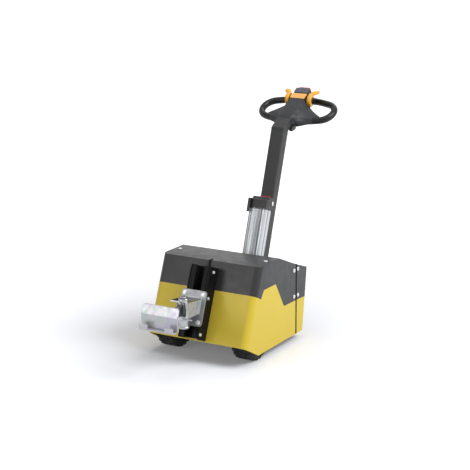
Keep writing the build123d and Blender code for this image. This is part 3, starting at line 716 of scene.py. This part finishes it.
def makeMastStrap():
    # Folded strap from the hood's top over its edge into the mast
    half = mastFacts["strapWidth"] / 2
    line = np.array(mastFacts["strapLine"])
    y = layout["frontTopY"] - line[:, 0] + np.minimum(line[:, 1], 0) * math.tan(math.radians(frontLean))
    outline = np.stack([y, layout["bodyHeight"] + line[:, 1]], axis=1)
    shape = prism(outline, -half, half, worldFrame)
    addPiece("mast_strap", shape, "mastPaint", "chassis", "mast_paint", bevel=0.4, segments=2)


makeMastTrim()
makeMastStrap()
print("mast made")

# Hitch

hitchFacts = {
    "plateFace": 78.0,
    "plateBolts": [(-42, 144), (42, 144), (-42, 254), (42, 254)],
    "bracketHalf": 37.5,
    "bracketWall": 6.0,
    "bracketTop": 279.0,
    "weldTop": 268.0,
    "roofWall": 5.0,
    "leftCheekFront": -408.0,
    "rightChin": 12.0,
    "leftChin": 26.0,
    "bracketLow": 210.0,
    "bracketFront": -451.0,
    "pinY": -414.0,
    "bushBottom": 165.0,
    "washerLow": 262.0,
    "pushY": -588.0,
    "pushLow": 199.0,
    "shelfHalf": 37.6,
    "shelfReach": 22.0,
    "hookSpan": (38.0, 76.0),
    "hookReach": 26.0,
    "hookRise": 24.0,
    "hookWall": 5.0,
    "hookBend": 9.0,
    "lockPlace": (38.5, -455.0),
    "lockSpan": (205.0, 280.0),
    "lockRadius": 4.6,
}


def plateFaceY(z):
    # Where the base plate's front is at a height
    lean = math.radians(frontLean)
    out = hitchFacts["plateFace"] / math.cos(lean)
    return layout["frontTopY"] - out - (layout["bodyHeight"] - z) * math.tan(lean)


def makeHitchBolts():
    bolts = [(x, -down, hitchFacts["plateFace"] - 0.2) for x, down in hitchFacts["plateBolts"]]
    places = placed(bolts, mastFrame)
    shape = fixings("hexBolt", places, [mastFrame[3]] * len(places))
    addPiece("hitch_plate_bolts", shape, "paleSteel", "hitch_carriage", "bright_steel", sharp=25)


def makeBracket():
    # Thin roof that falls to the rear, two cheeks and a floor; the left cheek stands back behind the pin
    facts = hitchFacts
    half, wall, roof = facts["bracketHalf"], facts["bracketWall"], facts["roofWall"]
    low, front = facts["bracketLow"], facts["bracketFront"]
    top, rear = facts["bracketTop"], facts["weldTop"]
    slope = (top - rear) / (plateFaceY(rear) - front)
    line = [(plateFaceY(rear), rear), (front, top), (front, top - roof), (plateFaceY(rear), rear - roof)]
    shape = prism(line, -half, half, worldFrame)
    addPiece("hitch_roof", shape, "zincMirror", "hitch_carriage", "zinc_steel", bevel=1.0, segments=3)
    parts = []
    cheeks = [(half - wall, half, front, facts["rightChin"])]
    cheeks += [(-half, wall - half, facts["leftCheekFront"], facts["leftChin"])]
    for lowX, highX, edge, chin in cheeks:
        bend = arcPoints((edge + chin, low + 4 + chin), chin, 180, 270, 8)
        under = top - (edge - front) * slope - roof
        above = [(plateFaceY(rear), rear - roof), (edge, under)]
        outline = np.concatenate([above, bend, [(edge + chin, low), (plateFaceY(low), low)]])
        parts.append(prism(outline, lowX, highX, worldFrame))
    depth = (front + facts["rightChin"], plateFaceY(low) + 2)
    parts.append(slabs([((wall - half, half - wall), depth, (low, low + wall))], worldFrame))
    shape = joined(parts)
    addLook("hitch_bracket", shape, "zincCool", bevel=1.2, segments=3)


def makeLockBar():
    # Round upright bar on the bracket's front edge, with a cross rod at its foot
    x, y = hitchFacts["lockPlace"]
    low, high = hitchFacts["lockSpan"]
    radius = hitchFacts["lockRadius"]
    bar = [(0.1, low), (radius, low), (radius, high - 2)]
    bar += [(radius - 1.2, high), (1.5, high + 1.2), (0, high + 1.2)]
    rod = [(0.1, -16), (2.6, -16), (3.0, -15), (3.0, 26), (2.6, 27), (0, 27)]
    rings = (turned(bar, 28, (x, y, 0)), turned(rod, 28, (x, y - 4, low + 8), alongX=True))
    parts = [(ring, gridFaces(6, 28, closeColumns=True)) for ring in rings]
    shape = joined(parts)
    addPiece("hitch_lock_bar", shape, "brightSteel", "hitch_carriage", "bright_steel", sharp=40)


def makePushHooks():
    # Upturned tabs at both ends of the push plate's foot
    facts = hitchFacts
    y, low = facts["pushY"], facts["pushLow"]
    front, high, wall = y - facts["hookReach"], low + facts["hookRise"], facts["hookWall"]
    bend = facts["hookBend"]
    turn = arcPoints((front + bend, low + bend), bend, 180, 270, 8)
    inner = arcPoints((front + bend, low + bend), bend - wall, 270, 180, 8)
    seat = [(y + 5, low), (y + 5, low + wall)]
    outline = np.concatenate([[(front, high)], turn, seat, inner, [(front + wall, high)]])
    for name, sign in (("left", -1), ("right", 1)):
        span = sorted(sign * x for x in facts["hookSpan"])
        shape = prism(outline, *span, worldFrame)
        addLook(f"push_hook_{name}", shape, "zinc", bevel=1.2, segments=3)


def makePushShelf():
    # Low lip along the push plate's foot, between the two hooks
    facts = hitchFacts
    y = facts["pushY"]
    span = (-facts["shelfHalf"], facts["shelfHalf"])
    rows = [(span, (y - facts["shelfReach"], y + 5), (facts["pushLow"] + 0.4, facts["pushLow"] + 5))]
    shape = slabs(rows, worldFrame)
    addPiece("push_shelf", shape, "zinc", "hitch_arm", "zinc_steel", bevel=1.0, segments=2)


def makeBushRings():
    # The bush that carries the pin, turned collars at its foot and over the roof, and a washer
    # on the tongue's eye. Columns: height of the foot, then the profile's radius and height over it
    foot = hitchFacts["bushBottom"]
    bush = [(10.4, 0), (20.6, 0), (21, 1), (21, 30), (20.2, 31), (20.2, 33), (21, 34), (21, 46), (10.4, 46)]
    lower = [(11, 0), (19, 0), (22.6, 1.6), (23.4, 4), (23.4, 8), (22.2, 9.6), (20.9, 10)]
    upper = [(10.5, 0), (19.6, 0), (19.8, 8), (19.4, 9.4), (18.4, 10.4), (14.2, 10.4)]
    washer = [(10.6, 0), (21.6, 0), (22, 0.6), (22, 5.4), (21.4, 6), (10.6, 6)]
    rows = [(foot, bush), (foot - 4.5, lower)]
    rows += [(hitchFacts["bracketTop"] - 8, upper), (hitchFacts["washerLow"], washer)]
    parts = []
    for low, profile in rows:
        points = turned(profile, 64, (0, hitchFacts["pinY"], low))
        parts.append((points, gridFaces(len(profile), 64, closeRows=True, closeColumns=True)))
    shape = joined(parts)
    addPiece("hitch_collars", shape, "brightSteel", "hitch_carriage", "bright_steel", sharp=30)


weldFacts = {
    "radius": 2.6,
    "ripple": 0.45,
    "ripplePitch": 3.2,
    "step": 1.2,
    "columns": 10,
}


def makeWelds():
    # Weld beads where the bracket meets the base plate: a tube whose radius ripples along the seam
    half, low, top = hitchFacts["bracketHalf"], hitchFacts["bracketLow"], hitchFacts["weldTop"]
    ends = ((-half, low), (-half, top), (half, top), (half, low))
    corners = np.array([(x, plateFaceY(z) - 0.5, z) for x, z in ends])
    lengths = np.linalg.norm(np.diff(corners, axis=0), axis=1)
    count = int(lengths.sum() / weldFacts["step"])
    along = np.linspace(0, lengths.sum(), count)
    stops = np.concatenate([[0], np.cumsum(lengths)])
    path = np.stack([np.interp(along, stops, corners[:, k]) for k in range(3)], axis=1)
    ripple = np.abs(np.sin(along * math.pi / weldFacts["ripplePitch"]))
    radius = weldFacts["radius"] + weldFacts["ripple"] * ripple
    heading = np.gradient(path, axis=0)
    heading /= np.linalg.norm(heading, axis=1, keepdims=True)
    normal = np.broadcast_to(mastFrame[3], heading.shape)
    sideways = np.cross(heading, normal)
    sideways /= np.linalg.norm(sideways, axis=1, keepdims=True)
    angle = ringAngles(weldFacts["columns"])[None, :, None]
    ring = np.cos(angle) * sideways[:, None] + np.sin(angle) * normal[:, None]
    points = path[:, None] + radius[:, None, None] * ring
    faces = cappedFaces(count, weldFacts["columns"])
    shape = (points.reshape(-1, 3), faces)
    addPiece("hitch_welds", shape, "zinc", "hitch_carriage", "zinc_steel", sharp=60)


makeBracket()
makeLockBar()
makePushHooks()
makePushShelf()
makeHitchBolts()
makeBushRings()
makeWelds()
print("hitch made")

# Battery

batteryFacts = {
    "low": 125.0,
    "high": 358.0,
    "halfWidth": 39.0,
    "front": -89.0,
    "back": -34.0,
    "capHeight": 50.0,
    "capOverlap": 2.0,
    "capBack": -23.0,
    "ribProud": 1.2,
    "ribHeights": (12, 20, 28),
    "lockPlace": (40.6, -37.0, 384.0),
    "lockSize": (6.0, 9.5),
    # Columns: radius as a share of the lock's size, height over its foot
    "lockProfile": [(0.1, 0), (1.0, 0), (1.0, 1.6), (0.88, 2.4), (0.5, 2.4), (0.44, 1.6), (0.0, 1.6)],
    "clips": [249.0, 474.0, 691.0],
    "clipSpan": (24.0, 31.6),
    "clipDepth": (14.0, 24.4),
    "clipHalf": 6.0,
}


def makeBatteryCap():
    # Moulded cap: a stepped side outline, a lower skirt that stands proud, and a raised rib on each side
    facts = batteryFacts
    face, front = facts["capBack"], facts["front"] - facts["capOverlap"]
    low, top = facts["high"], facts["high"] + facts["capHeight"]
    half = facts["halfWidth"] + facts["capOverlap"]
    crown = arcPoints((front + 9, top - 21), 9, 180, 90, 7)
    step = [(front + 20, top - 12), (front + 26, top - 3), (front + 32, top), (face, top)]
    outline = np.concatenate([[(face, low), (front, low)], crown, step])
    shape = prism(outline, -half, half, tillerFrame)
    addLook("battery_cap", shape, "blackPlastic", bevel=2.2, segments=4, sharp=20)
    proud = facts["ribProud"]
    rows = []
    for side in (-1, 1):
        for rise in facts["ribHeights"]:
            span = (side * half - proud, side * half + proud)
            rows.append((span, (front + 10, face - 14), (low + rise, low + rise + 2.2)))
    rows += [((-half - proud, half + proud), (front - proud, face - 4), (low - 1, low + 4))]
    shape = slabs(rows, tillerFrame)
    addPiece("battery_cap_ribs", shape, "blackPlastic", "tiller", "black_plastic", bevel=0.6, segments=2)


def makeBatteryTrim():
    # Seals at both ends of the case, the pale key lock on the cap's side and the clips on the tiller
    facts = batteryFacts
    half = facts["halfWidth"] + 0.8
    depth = (facts["front"] - 0.8, facts["back"] + 0.3)
    rows = [((-half, half), depth, (z, z + 3.0)) for z in (facts["low"] + 1, facts["high"] - 5)]
    shape = slabs(rows, tillerFrame)
    addPiece("battery_seals", shape, "blackPlastic", "tiller", "black_plastic", bevel=0.8, segments=3)
    profile = facts["lockProfile"]
    oval = turned(profile, 40, facts["lockPlace"], alongX=True, stretch=facts["lockSize"])
    shape = (placed(oval, tillerFrame), gridFaces(len(profile), 40, closeColumns=True))
    addPiece("battery_lock", shape, "lockPlastic", "tiller", "zinc_steel", sharp=30)
    clips = []
    for w in facts["clips"]:
        for side in (-1, 1):
            span = sorted(side * x for x in facts["clipSpan"])
            clips.append((span, facts["clipDepth"], (w - facts["clipHalf"], w + facts["clipHalf"])))
    shape = slabs(clips, tillerFrame)
    addPiece("tiller_clips", shape, "brightSteel", "tiller", "bright_steel", bevel=1.0, segments=3)


makeBatteryCap()
makeBatteryTrim()
print("battery made")

# Head

headFacts = {
    "halfWidth": 170.0,
    "halfDepth": 72.0,
    "endRadius": 56.0,
    "consoleTop": 52.0,
    "labelHalf": 34.0,
    "labelSpan": (19.0, 52.0),
    "padSpan": (57.0, 89.0),
    "voxel": 2.4,
    "smoothRounds": 12,
    "gripStart": 62.0,
    "bossU": 40.0,
    "bossV": 27.0,
    "waist": 45.0,
    "webFlat": 36.0,
    "webFall": 2.4,
    "gripSteps": 110,
    "gripWide": 13.6,
    "gripTall": 14.6,
    "gripSwell": 0.05,
    "seamReach": 13.55,
    "seamRadii": (0.35, 0.8),
    # An arm ends at this distance from the middle, has its full size at the next, and grows by this power
    "armEnd": 8.0,
    "armFull": 22.0,
    "armPower": 2.2,
    # Box of the neck's collar: side to side, along and over the head's plane
    "collar": [((-33, 33), (-124, -112), (2, 50))],
    # Outlines along and over the head's plane
    "buttonOutline": [(90, 14), (104, 14), (110, 21), (110, 37), (105, 46), (97, 50), (90, 50)],
    "buttonHalf": 23.0,
    "switchOutline": [(-146, 4), (-120, -6), (-108, -2), (-108, 12), (-132, 18), (-146, 16)],
    "switchSpan": (26.0, 42.0),
}
# Arms from the handle to the console. Columns: far or near side, reach, half height and half width
# at the console, how far it is drawn in and how far raised
armTable = [
    (-1, 118, 32, 36, 24, 13),
    (1, 66, 17, 17, 4, 0),
]
# Half width and half height of an arm where it leaves the handle
armRoot = (14.9, 15.6)


def ovalPoint(turn):
    # Point and heading on the oval of four tangent arcs, at a turn in radians round its centre
    a, b, r = headFacts["halfWidth"], headFacts["halfDepth"], headFacts["endRadius"]
    end = a - r
    big = (end * end + b * b - r * r) / (2 * (b - r))
    centre = b - big
    reach = math.hypot(end, centre)
    jointX, jointY = end + r * end / reach, -r * centre / reach
    limit = math.atan2(jointY, jointX)
    turn = np.asarray(turn, float)
    c, s = np.cos(turn), np.sin(turn)
    folded = np.arctan2(np.abs(s), np.abs(c))
    # Distance from the oval's centre to the arc round (px, py): the ray's far crossing with its circle
    small = folded < limit
    px, py, radius = np.where(small, end, 0.0), np.where(small, 0.0, centre), np.where(small, r, big)
    along = np.abs(c) * px + np.abs(s) * py
    across = np.abs(c) * py - np.abs(s) * px
    distance = along + np.sqrt(np.maximum(radius**2 - across**2, 0))
    return np.stack([distance * c, distance * s], axis=-1)


def tubeAlong(path, radiusWide, radiusTall, columns=28, lift=0.0):
    # Tube of oval section round a path in the head's plane, raised by lift, in the head's frame
    heading = np.gradient(path, axis=0)
    heading /= np.linalg.norm(heading, axis=1, keepdims=True)
    sideways = np.stack([heading[:, 1], -heading[:, 0]], axis=1)
    angle = ringAngles(columns)
    wide = np.broadcast_to(np.asarray(radiusWide, float), len(path))[:, None]
    tall = np.broadcast_to(np.asarray(radiusTall, float), len(path))[:, None]
    flat = path[:, None] + (wide * np.cos(angle))[..., None] * sideways[:, None]
    height = tall * np.sin(angle) + np.broadcast_to(np.asarray(lift, float), len(path))[:, None]
    points = np.concatenate([flat, height[..., None]], axis=-1)
    return points.reshape(-1, 3), cappedFaces(len(path), columns)


def makeGrips():
    # Each half of the oval handle from its junction on the near side round to that on the far side
    wide, tall, depth = headFacts["gripWide"], headFacts["gripTall"], headFacts["halfDepth"]
    start = math.asin(min(1.0, depth / math.hypot(headFacts["gripStart"], depth)))
    for name, side in (("left", -1), ("right", 1)):
        turn = np.linspace(-start, start, headFacts["gripSteps"])
        path = ovalPoint(turn) * (side, 1)
        swell = 1 + headFacts["gripSwell"] * np.cos(turn * 1.1) ** 2
        points, faces = tubeAlong(path, wide * swell, tall * swell)
        shape = (placed(points, headFrame), faces)
        node = f"grip_{name}"
        addLook(node, shape, "gripPlastic", sharp=50)
        # Fine parting line round the outside of the grip
        heading = np.gradient(path, axis=0)
        heading /= np.linalg.norm(heading, axis=1, keepdims=True)
        outward = np.stack([heading[:, 1], -heading[:, 0]], axis=1)
        outward *= np.sign((outward * path).sum(axis=1, keepdims=True))
        seam = path + outward * (headFacts["seamReach"] * swell)[:, None]
        points, faces = tubeAlong(seam, *headFacts["seamRadii"], columns=8)
        shape = (placed(points, headFrame), faces)
        addPiece(f"grip_seam_{name}", shape, "gripPlastic", "tiller", slotOf[node], sharp=50)


def consoleWeb():
    # Wide near part that flares from the console's flanks into the handle's arms.
    # Columns: u, half width, height of its edge, height of its belly
    stations = np.array([
        (34, 44, 30, 0),
        (16, 54, 25, -2),
        (4, 64, 22, -5),
        (-12, 82, 21, -8),
        (-26, 102, 19, -10),
        (-38, 124, 15, -11),
        (-48, 134, 12, -11),
        (-60, 128, 9, -10),
        (-72, 112, 8, -9),
        (-86, 84, 8, -8),
        (-104, 50, 8, -6),
    ], float)
    u, half, edge, belly = stations.T
    flat = headFacts["webFlat"]
    share = np.array([0, 0.25, 0.45, 0.62, 0.78, 0.9, 0.97, 1.0])
    x = half[:, None] * share
    past = np.clip((x - flat) / (half[:, None] - flat), 0, 1)
    crown = edge[:, None] + (headFacts["consoleTop"] - 4 - edge[:, None]) * (1 - past) ** headFacts["webFall"]
    crown -= 6 * share**12
    under = np.broadcast_to(belly[:, None], x.shape) + 5 * share**6
    width = np.concatenate([x, x[:, ::-1], -x[:, 1:], -x[:, :0:-1]], axis=1)
    height = np.concatenate([crown, under[:, ::-1], under[:, 1:], crown[:, :0:-1]], axis=1)
    points = np.stack([width, np.broadcast_to(u[:, None], width.shape), height], axis=-1)
    return points.reshape(-1, 3), cappedFaces(*width.shape)


def consoleShell():
    # Core and arms as rough closed shapes, joined and then remeshed into one moulded skin
    top = headFacts["consoleTop"]
    # Rings along the console; columns: u, half width low, half width at the top, bottom v, top v
    stations = np.array([
        (-116, 34, 32, -6, top - 2),
        (-100, 38, 34, -10, top),
        (-70, 46, 37, -15, top + 1),
        (-30, 46, 38, -16, top + 1),
        (10, 45, 38, -16, top),
        (60, 44, 37, -14, top),
        (80, 42, 36, -6, top),
        (91, 41, 35, 4, top - 1),
    ], float)
    u, low, high, bottom, peak = stations.T
    # Section: flat top, leaning sides and a rounded belly
    section = [(0.55, 0), (0.86, 0.05), (1.0, 0.3), (1.0, 0.5), (0.94, 0.7), (0.9, 0.97), (0.84, 1.0)]
    across, rise = np.array(section).T
    share = np.array([1, 1, 1, 0.9, 0.45, 0, 0])
    half = (low[:, None] * share + high[:, None] * (1 - share)) * across
    level = bottom[:, None] + (peak - bottom)[:, None] * rise
    x = np.concatenate([half, -half[:, ::-1]], axis=1)
    v = np.concatenate([level, level[:, ::-1]], axis=1)
    ring = np.stack([x, np.broadcast_to(u[:, None], x.shape), v], axis=-1)
    parts = [(ring.reshape(-1, 3), cappedFaces(*x.shape)), consoleWeb()]
    rootWide, rootTall = armRoot
    for side in (-1, 1):
        for sign, reach, tall, wide, drawn, raised in armTable:
            # An arm follows the oval inwards, swells towards the console and is drawn into it
            x = np.linspace(reach, headFacts["armEnd"], 40)
            turn = np.arctan2(sign * headFacts["halfDepth"] * 0.97, x)
            path = ovalPoint(turn) * (side, 1)
            near = np.clip((reach - x) / (reach - headFacts["armFull"]), 0, 1)
            ease = near ** headFacts["armPower"]
            shift = np.stack([0 * x, -sign * ease * drawn], axis=1)
            grown = rootWide + ease * (wide - rootWide), rootTall + ease * (tall - rootTall)
            parts.append(tubeAlong(path + shift, *grown, lift=ease * raised))
    # Bosses that the paddles turn on
    centre = (0, headFacts["bossU"], headFacts["bossV"])
    for side in (-1, 1):
        boss = [(15, side * 30), (15, side * 43), (13.5, side * 48), (12, side * 49.5)]
        parts.append((turned(boss, 40, centre, alongX=True), cappedFaces(4, 40)))
    return joined(parts)


def makeConsole():
    points, faces = consoleShell()
    mesh = bpy.data.meshes.new("consoleRough")
    mesh.from_pydata((placed(points, headFrame) * mm).tolist(), [], faces)
    shape = bmesh.new()
    shape.from_mesh(mesh)
    bmesh.ops.recalc_face_normals(shape, faces=shape.faces)
    shape.to_mesh(mesh)
    shape.free()
    rough = bpy.data.objects.new("consoleRough", mesh)
    bpy.context.scene.collection.objects.link(rough)
    skin = rough.modifiers.new("skin", "REMESH")
    skin.mode = "VOXEL"
    skin.voxel_size = headFacts["voxel"] * mm
    ease = rough.modifiers.new("ease", "SMOOTH")
    ease.factor = 0.5
    ease.iterations = headFacts["smoothRounds"]
    graph = bpy.context.evaluated_depsgraph_get()
    baked = bpy.data.meshes.new_from_object(rough.evaluated_get(graph))
    bpy.data.objects.remove(rough)
    looks = ("consolePlastic", "tiller", "grey_plastic")
    finishMesh("console_look", baked, *looks, stands=("console",), sharp=60)


def roundedPlate(halfX, span, low, high, radius):
    # Plate with round corners on the head's plane
    x, u0, u1 = halfX - radius, span[0] + radius, span[1] - radius
    corners = [(x, u1, 0), (-x, u1, 90), (-x, u0, 180), (x, u0, 270)]
    outline = np.concatenate([arcPoints((x, u), radius, a, a + 90, 6) for x, u, a in corners])
    return prism(outline, low, high, headFrame, across=2)


def makeConsoleTrim():
    facts = headFacts
    top = facts["consoleTop"] - 1.6
    shape = roundedPlate(facts["labelHalf"], facts["labelSpan"], top, top + 2.6, 3.0)
    edges = {"bevel": 0.4, "segments": 2, "sharp": 25}
    addPiece("console_label", shape, "labelFilm", "tiller", "orange_plastic", **edges)
    shape = roundedPlate(facts["labelHalf"] - 1, facts["padSpan"], top, top + 4.4, 6.0)
    edges = {"bevel": 1.4, "segments": 4, "sharp": 25}
    addPiece("console_pad", shape, "padPlastic", "tiller", "grey_plastic", **edges)
    shape = slabs(facts["collar"], headFrame)
    addPiece("console_collar", shape, "blackPlastic", "tiller", "grey_plastic", bevel=4.0, segments=4)
    shape = prism(facts["buttonOutline"], -facts["buttonHalf"], facts["buttonHalf"], headFrame)
    addLook("reverse_button", shape, "redPlastic", bevel=3.0, segments=4, sharp=12)
    # Switch housing under the console's near right side
    shape = prism(facts["switchOutline"], *facts["switchSpan"], headFrame)
    addLook("switch_box", shape, "blackPlastic", bevel=2.5, segments=4, sharp=20)


paddleFacts = {
    # Ring sector: its angles in degrees, outer radius, half width before it narrows, and thickness;
    # then the angle in radians over which it narrows, and the shares of both that are left at its end
    "sweep": (50.0, 276.0),
    "outer": 28.6,
    "half": 7.4,
    "thick": 17.0,
    "fade": 1.5,
    "endHalf": 0.12,
    "endThick": 0.55,
    # Section across the sector: share of its half width and of its thickness
    "section": [(-1, 0.12), (-0.8, 0), (0.8, 0), (1, 0.12), (1, 0.8), (0.72, 1), (-0.72, 1), (-1, 0.8)],
    # Ear: its root from the waist and the boss, its way outwards and along the head, the power of the first,
    # the arch and fall of its middle line, its direction across, half width and swell, the share of its
    # length at which the round end starts, half thickness and loss of it, power of the section's corners
    "earRoot": (4.0, 6.0, 20.5),
    "earWay": (30.0, 36.0),
    "earBend": 1.2,
    "earArch": 1.5,
    "earFall": 3.0,
    "earAcross": (0.82, -0.57),
    "earHalf": 9.5,
    "earSwell": 3.0,
    "earRound": 0.78,
    "earThick": 5.6,
    "earThin": 1.2,
    "earCorner": 0.6,
    "earColumns": 20,
    # Cap over the boss: radius and height, and where it starts
    "cap": [(0.1, 0), (11, 0), (11, 2.4), (9.8, 3.4), (3, 3.4), (2.4, 2.6), (0, 2.6)],
    "capStart": 49.0,
    "capColumns": 32,
}


def paddleSector(side):
    u0, v0, facts = headFacts["bossU"], headFacts["bossV"], paddleFacts
    angle = np.radians(np.linspace(*facts["sweep"], 56))
    taper = np.clip((angle[-1] - angle) / facts["fade"], 0, 1) ** 0.7
    half = facts["half"] * (facts["endHalf"] + (1 - facts["endHalf"]) * taper)
    middle = facts["outer"] - half
    across, rise = np.array(facts["section"]).T
    radius = middle[:, None] + half[:, None] * across
    thick = facts["thick"] * rise * (facts["endThick"] + (1 - facts["endThick"]) * taper[:, None])
    x = side * (headFacts["waist"] + thick)
    u = u0 + radius * np.cos(angle)[:, None]
    v = v0 + radius * np.sin(angle)[:, None]
    return np.stack([x, u, v], axis=-1).reshape(-1, 3), cappedFaces(*radius.shape)


def paddleEar(side):
    facts = paddleFacts
    t = np.linspace(0, 1, 26)[:, None]
    end = np.clip((t - facts["earRound"]) / (1 - facts["earRound"]), 0, 1)
    broad = facts["earHalf"] + facts["earSwell"] * np.sin(t * math.pi * 0.8)
    broad = broad * np.sqrt(1 - end**2 * 0.8)
    thick = facts["earThick"] - facts["earThin"] * t
    around = ringAngles(facts["earColumns"])
    c, s = np.cos(around), np.sin(around)
    squareC = np.sign(c) * np.abs(c) ** facts["earCorner"]
    squareS = np.sign(s) * np.abs(s) ** facts["earCorner"]
    rootX, rootU, rootV = facts["earRoot"]
    (wayX, wayU), (acrossX, acrossU) = facts["earWay"], facts["earAcross"]
    x = headFacts["waist"] + rootX + wayX * t ** facts["earBend"] + acrossX * broad * squareC
    u = headFacts["bossU"] + rootU + wayU * t + acrossU * broad * squareC
    v = headFacts["bossV"] + rootV + facts["earArch"] * np.sin(t * math.pi) - facts["earFall"] * t * t
    v = v + thick * squareS
    return np.stack([side * x, u, v], axis=-1).reshape(-1, 3), cappedFaces(*x.shape)


def makePaddles():
    # Butterfly thumb control: a ring sector that turns about the boss, and an ear that runs from its top
    # outwards along a bent line and narrows to a round end; both are lofts
    start, columns = paddleFacts["capStart"], paddleFacts["capColumns"]
    centre = (0, headFacts["bossU"], headFacts["bossV"])
    for name, side in (("left", -1), ("right", 1)):
        points, faces = joined([paddleSector(side), paddleEar(side)])
        shape = (placed(points, headFrame), faces)
        addLook(f"thumb_paddle_{name}", shape, "orangePlastic", bevel=0.6, segments=2, sharp=38)
        cap = [(radius, side * (start + height)) for radius, height in paddleFacts["cap"]]
        points = placed(turned(cap, columns, centre, alongX=True), headFrame)
        shape = (points, gridFaces(len(cap), columns, closeColumns=True))
        addPiece(f"paddle_cap_{name}", shape, "blackPlastic", "tiller", "black_plastic", sharp=30)


makeGrips()
makeConsole()
makeConsoleTrim()
makePaddles()
print("head made")


# CAD nodes that stay as they are, with their finish
nodeFinish = {"drive_shaft_left": "brightSteel", "drive_shaft_right": "brightSteel"}
for node, finish in nodeFinish.items():
    data = frame["nodes"][node].data
    data.materials.clear()
    data.materials.append(finishes[finish])
print("frame dressed")

# Camera, light and floor

cameraFacts = {
    "azimuth": 30.17,
    "elevation": 14.21,
    "roll": -0.19,
    "distance": 5705.0,
    "target": (-3.5, -11.0, 444.2),
    "lens": 107.1,
    "sensor": 36.0,
}


def makeCamera():
    # The camera looks back along a direction given by its azimuth and elevation
    a, e, roll = (math.radians(cameraFacts[name]) for name in ("azimuth", "elevation", "roll"))
    back = np.array([math.sin(a) * math.cos(e), -math.cos(a) * math.cos(e), math.sin(e)])
    right = np.array([math.cos(a), math.sin(a), 0.0])
    up = np.cross(back, right)
    turnedRight = right * math.cos(roll) + up * math.sin(roll)
    turnedUp = up * math.cos(roll) - right * math.sin(roll)
    place = (np.array(cameraFacts["target"]) + back * cameraFacts["distance"]) * mm
    data = bpy.data.cameras.new("camera")
    data.lens = cameraFacts["lens"]
    data.sensor_width = cameraFacts["sensor"]
    data.clip_end = 100.0
    camera = bpy.data.objects.new("camera", data)
    matrix = np.eye(4)
    matrix[:3, 0], matrix[:3, 1], matrix[:3, 2], matrix[:3, 3] = turnedRight, turnedUp, back, place
    camera.matrix_world = Matrix(matrix.tolist())
    bpy.context.scene.collection.objects.link(camera)
    bpy.context.scene.camera = camera


# Columns: name, azimuth and elevation of the lamp, distance, size and power
lampTable = [
    ("keyLamp", 94, 44, 3.4, 2.2, 92),
    ("topLamp", 20, 80, 3.2, 2.6, 26),
    ("frontLamp", -24, 15, 3.6, 1.2, 15),
    ("rimLamp", 190, 40, 3.4, 2.0, 12),
]
studio = {
    "worldLight": 0.18,
    "floorSize": 60.0,
    "floorColour": linear(232, 234, 240),
    # Faint glow that lightens the floor's shadow near the machine: painted light
    "floorGlow": 0.14,
    "clearFrom": 0.35,
    "clearTo": 1.9,
    "clearGlow": 1.0,
}


def makeLamps():
    for name, azimuth, elevation, distance, size, power in lampTable:
        a, e = math.radians(azimuth), math.radians(elevation)
        back = np.array([math.sin(a) * math.cos(e), -math.cos(a) * math.cos(e), math.sin(e)])
        data = bpy.data.lights.new(name, "AREA")
        data.shape = "DISK"
        data.size = size
        data.energy = power
        lamp = bpy.data.objects.new(name, data)
        lamp.location = (back * distance + np.array([0, 0, 0.4])).tolist()
        lamp.rotation_euler = (math.pi / 2 - e, 0, a)
        bpy.context.scene.collection.objects.link(lamp)


def makeWorld():
    # White for the camera and in reflections, softer as light on the object
    world = bpy.data.worlds.new("studioWorld")
    world.use_nodes = True
    nodes, links = world.node_tree.nodes, world.node_tree.links
    background = nodes["Background"]
    background.inputs["Color"].default_value = (1, 1, 1, 1)
    path = nodes.new("ShaderNodeLightPath")
    seen = path.outputs["Is Camera Ray"]
    for ray in ("Is Glossy Ray", "Is Transmission Ray"):
        seen = mathNode(nodes, links, "MAXIMUM", seen, path.outputs[ray])
    strength = rangeNode(nodes, links, seen, studio["worldLight"], 1.0, 0.0, 1.0)
    links.new(strength, background.inputs["Strength"])
    bpy.context.scene.world = world


def makeFloor():
    # Pale floor that keeps the shadow near the machine, where a faint glow that the camera and reflections
    # see lightens that shadow;
    # further out the camera sees it as plain white, by a share that rises with the distance from the
    # machine's middle
    size = studio["floorSize"] / 2
    mesh = bpy.data.meshes.new("floor")
    corners = [(-size, -size, 0), (size, -size, 0), (size, size, 0), (-size, size, 0)]
    mesh.from_pydata(corners, [], [(0, 1, 2, 3)])
    floor = bpy.data.objects.new("floor", mesh)
    bpy.context.scene.collection.objects.link(floor)
    material, nodes, links, shader, where = newMaterial("floorFinish")
    shader.inputs["Base Color"].default_value = studio["floorColour"]
    shader.inputs["Roughness"].default_value = 0.85
    shader.inputs["Specular IOR Level"].default_value = 0.2
    length = nodes.new("ShaderNodeVectorMath")
    length.operation = "LENGTH"
    links.new(where, length.inputs[0])
    clear = rangeNode(nodes, links, length.outputs["Value"], 0.0, 1.0, studio["clearFrom"], studio["clearTo"])
    glow = rangeNode(nodes, links, clear, studio["floorGlow"], studio["clearGlow"], 0.0, 1.0)
    path = nodes.new("ShaderNodeLightPath")
    shader.inputs["Emission Color"].default_value = (1, 1, 1, 1)
    seen = mathNode(nodes, links, "MAXIMUM", path.outputs["Is Camera Ray"], path.outputs["Is Glossy Ray"])
    links.new(mathNode(nodes, links, "MULTIPLY", seen, glow), shader.inputs["Emission Strength"])
    mesh.materials.append(material)


makeCamera()
makeLamps()
makeWorld()
makeFloor()
bpy.context.scene.view_settings.view_transform = "Standard"
print("camera, lamps and floor made")
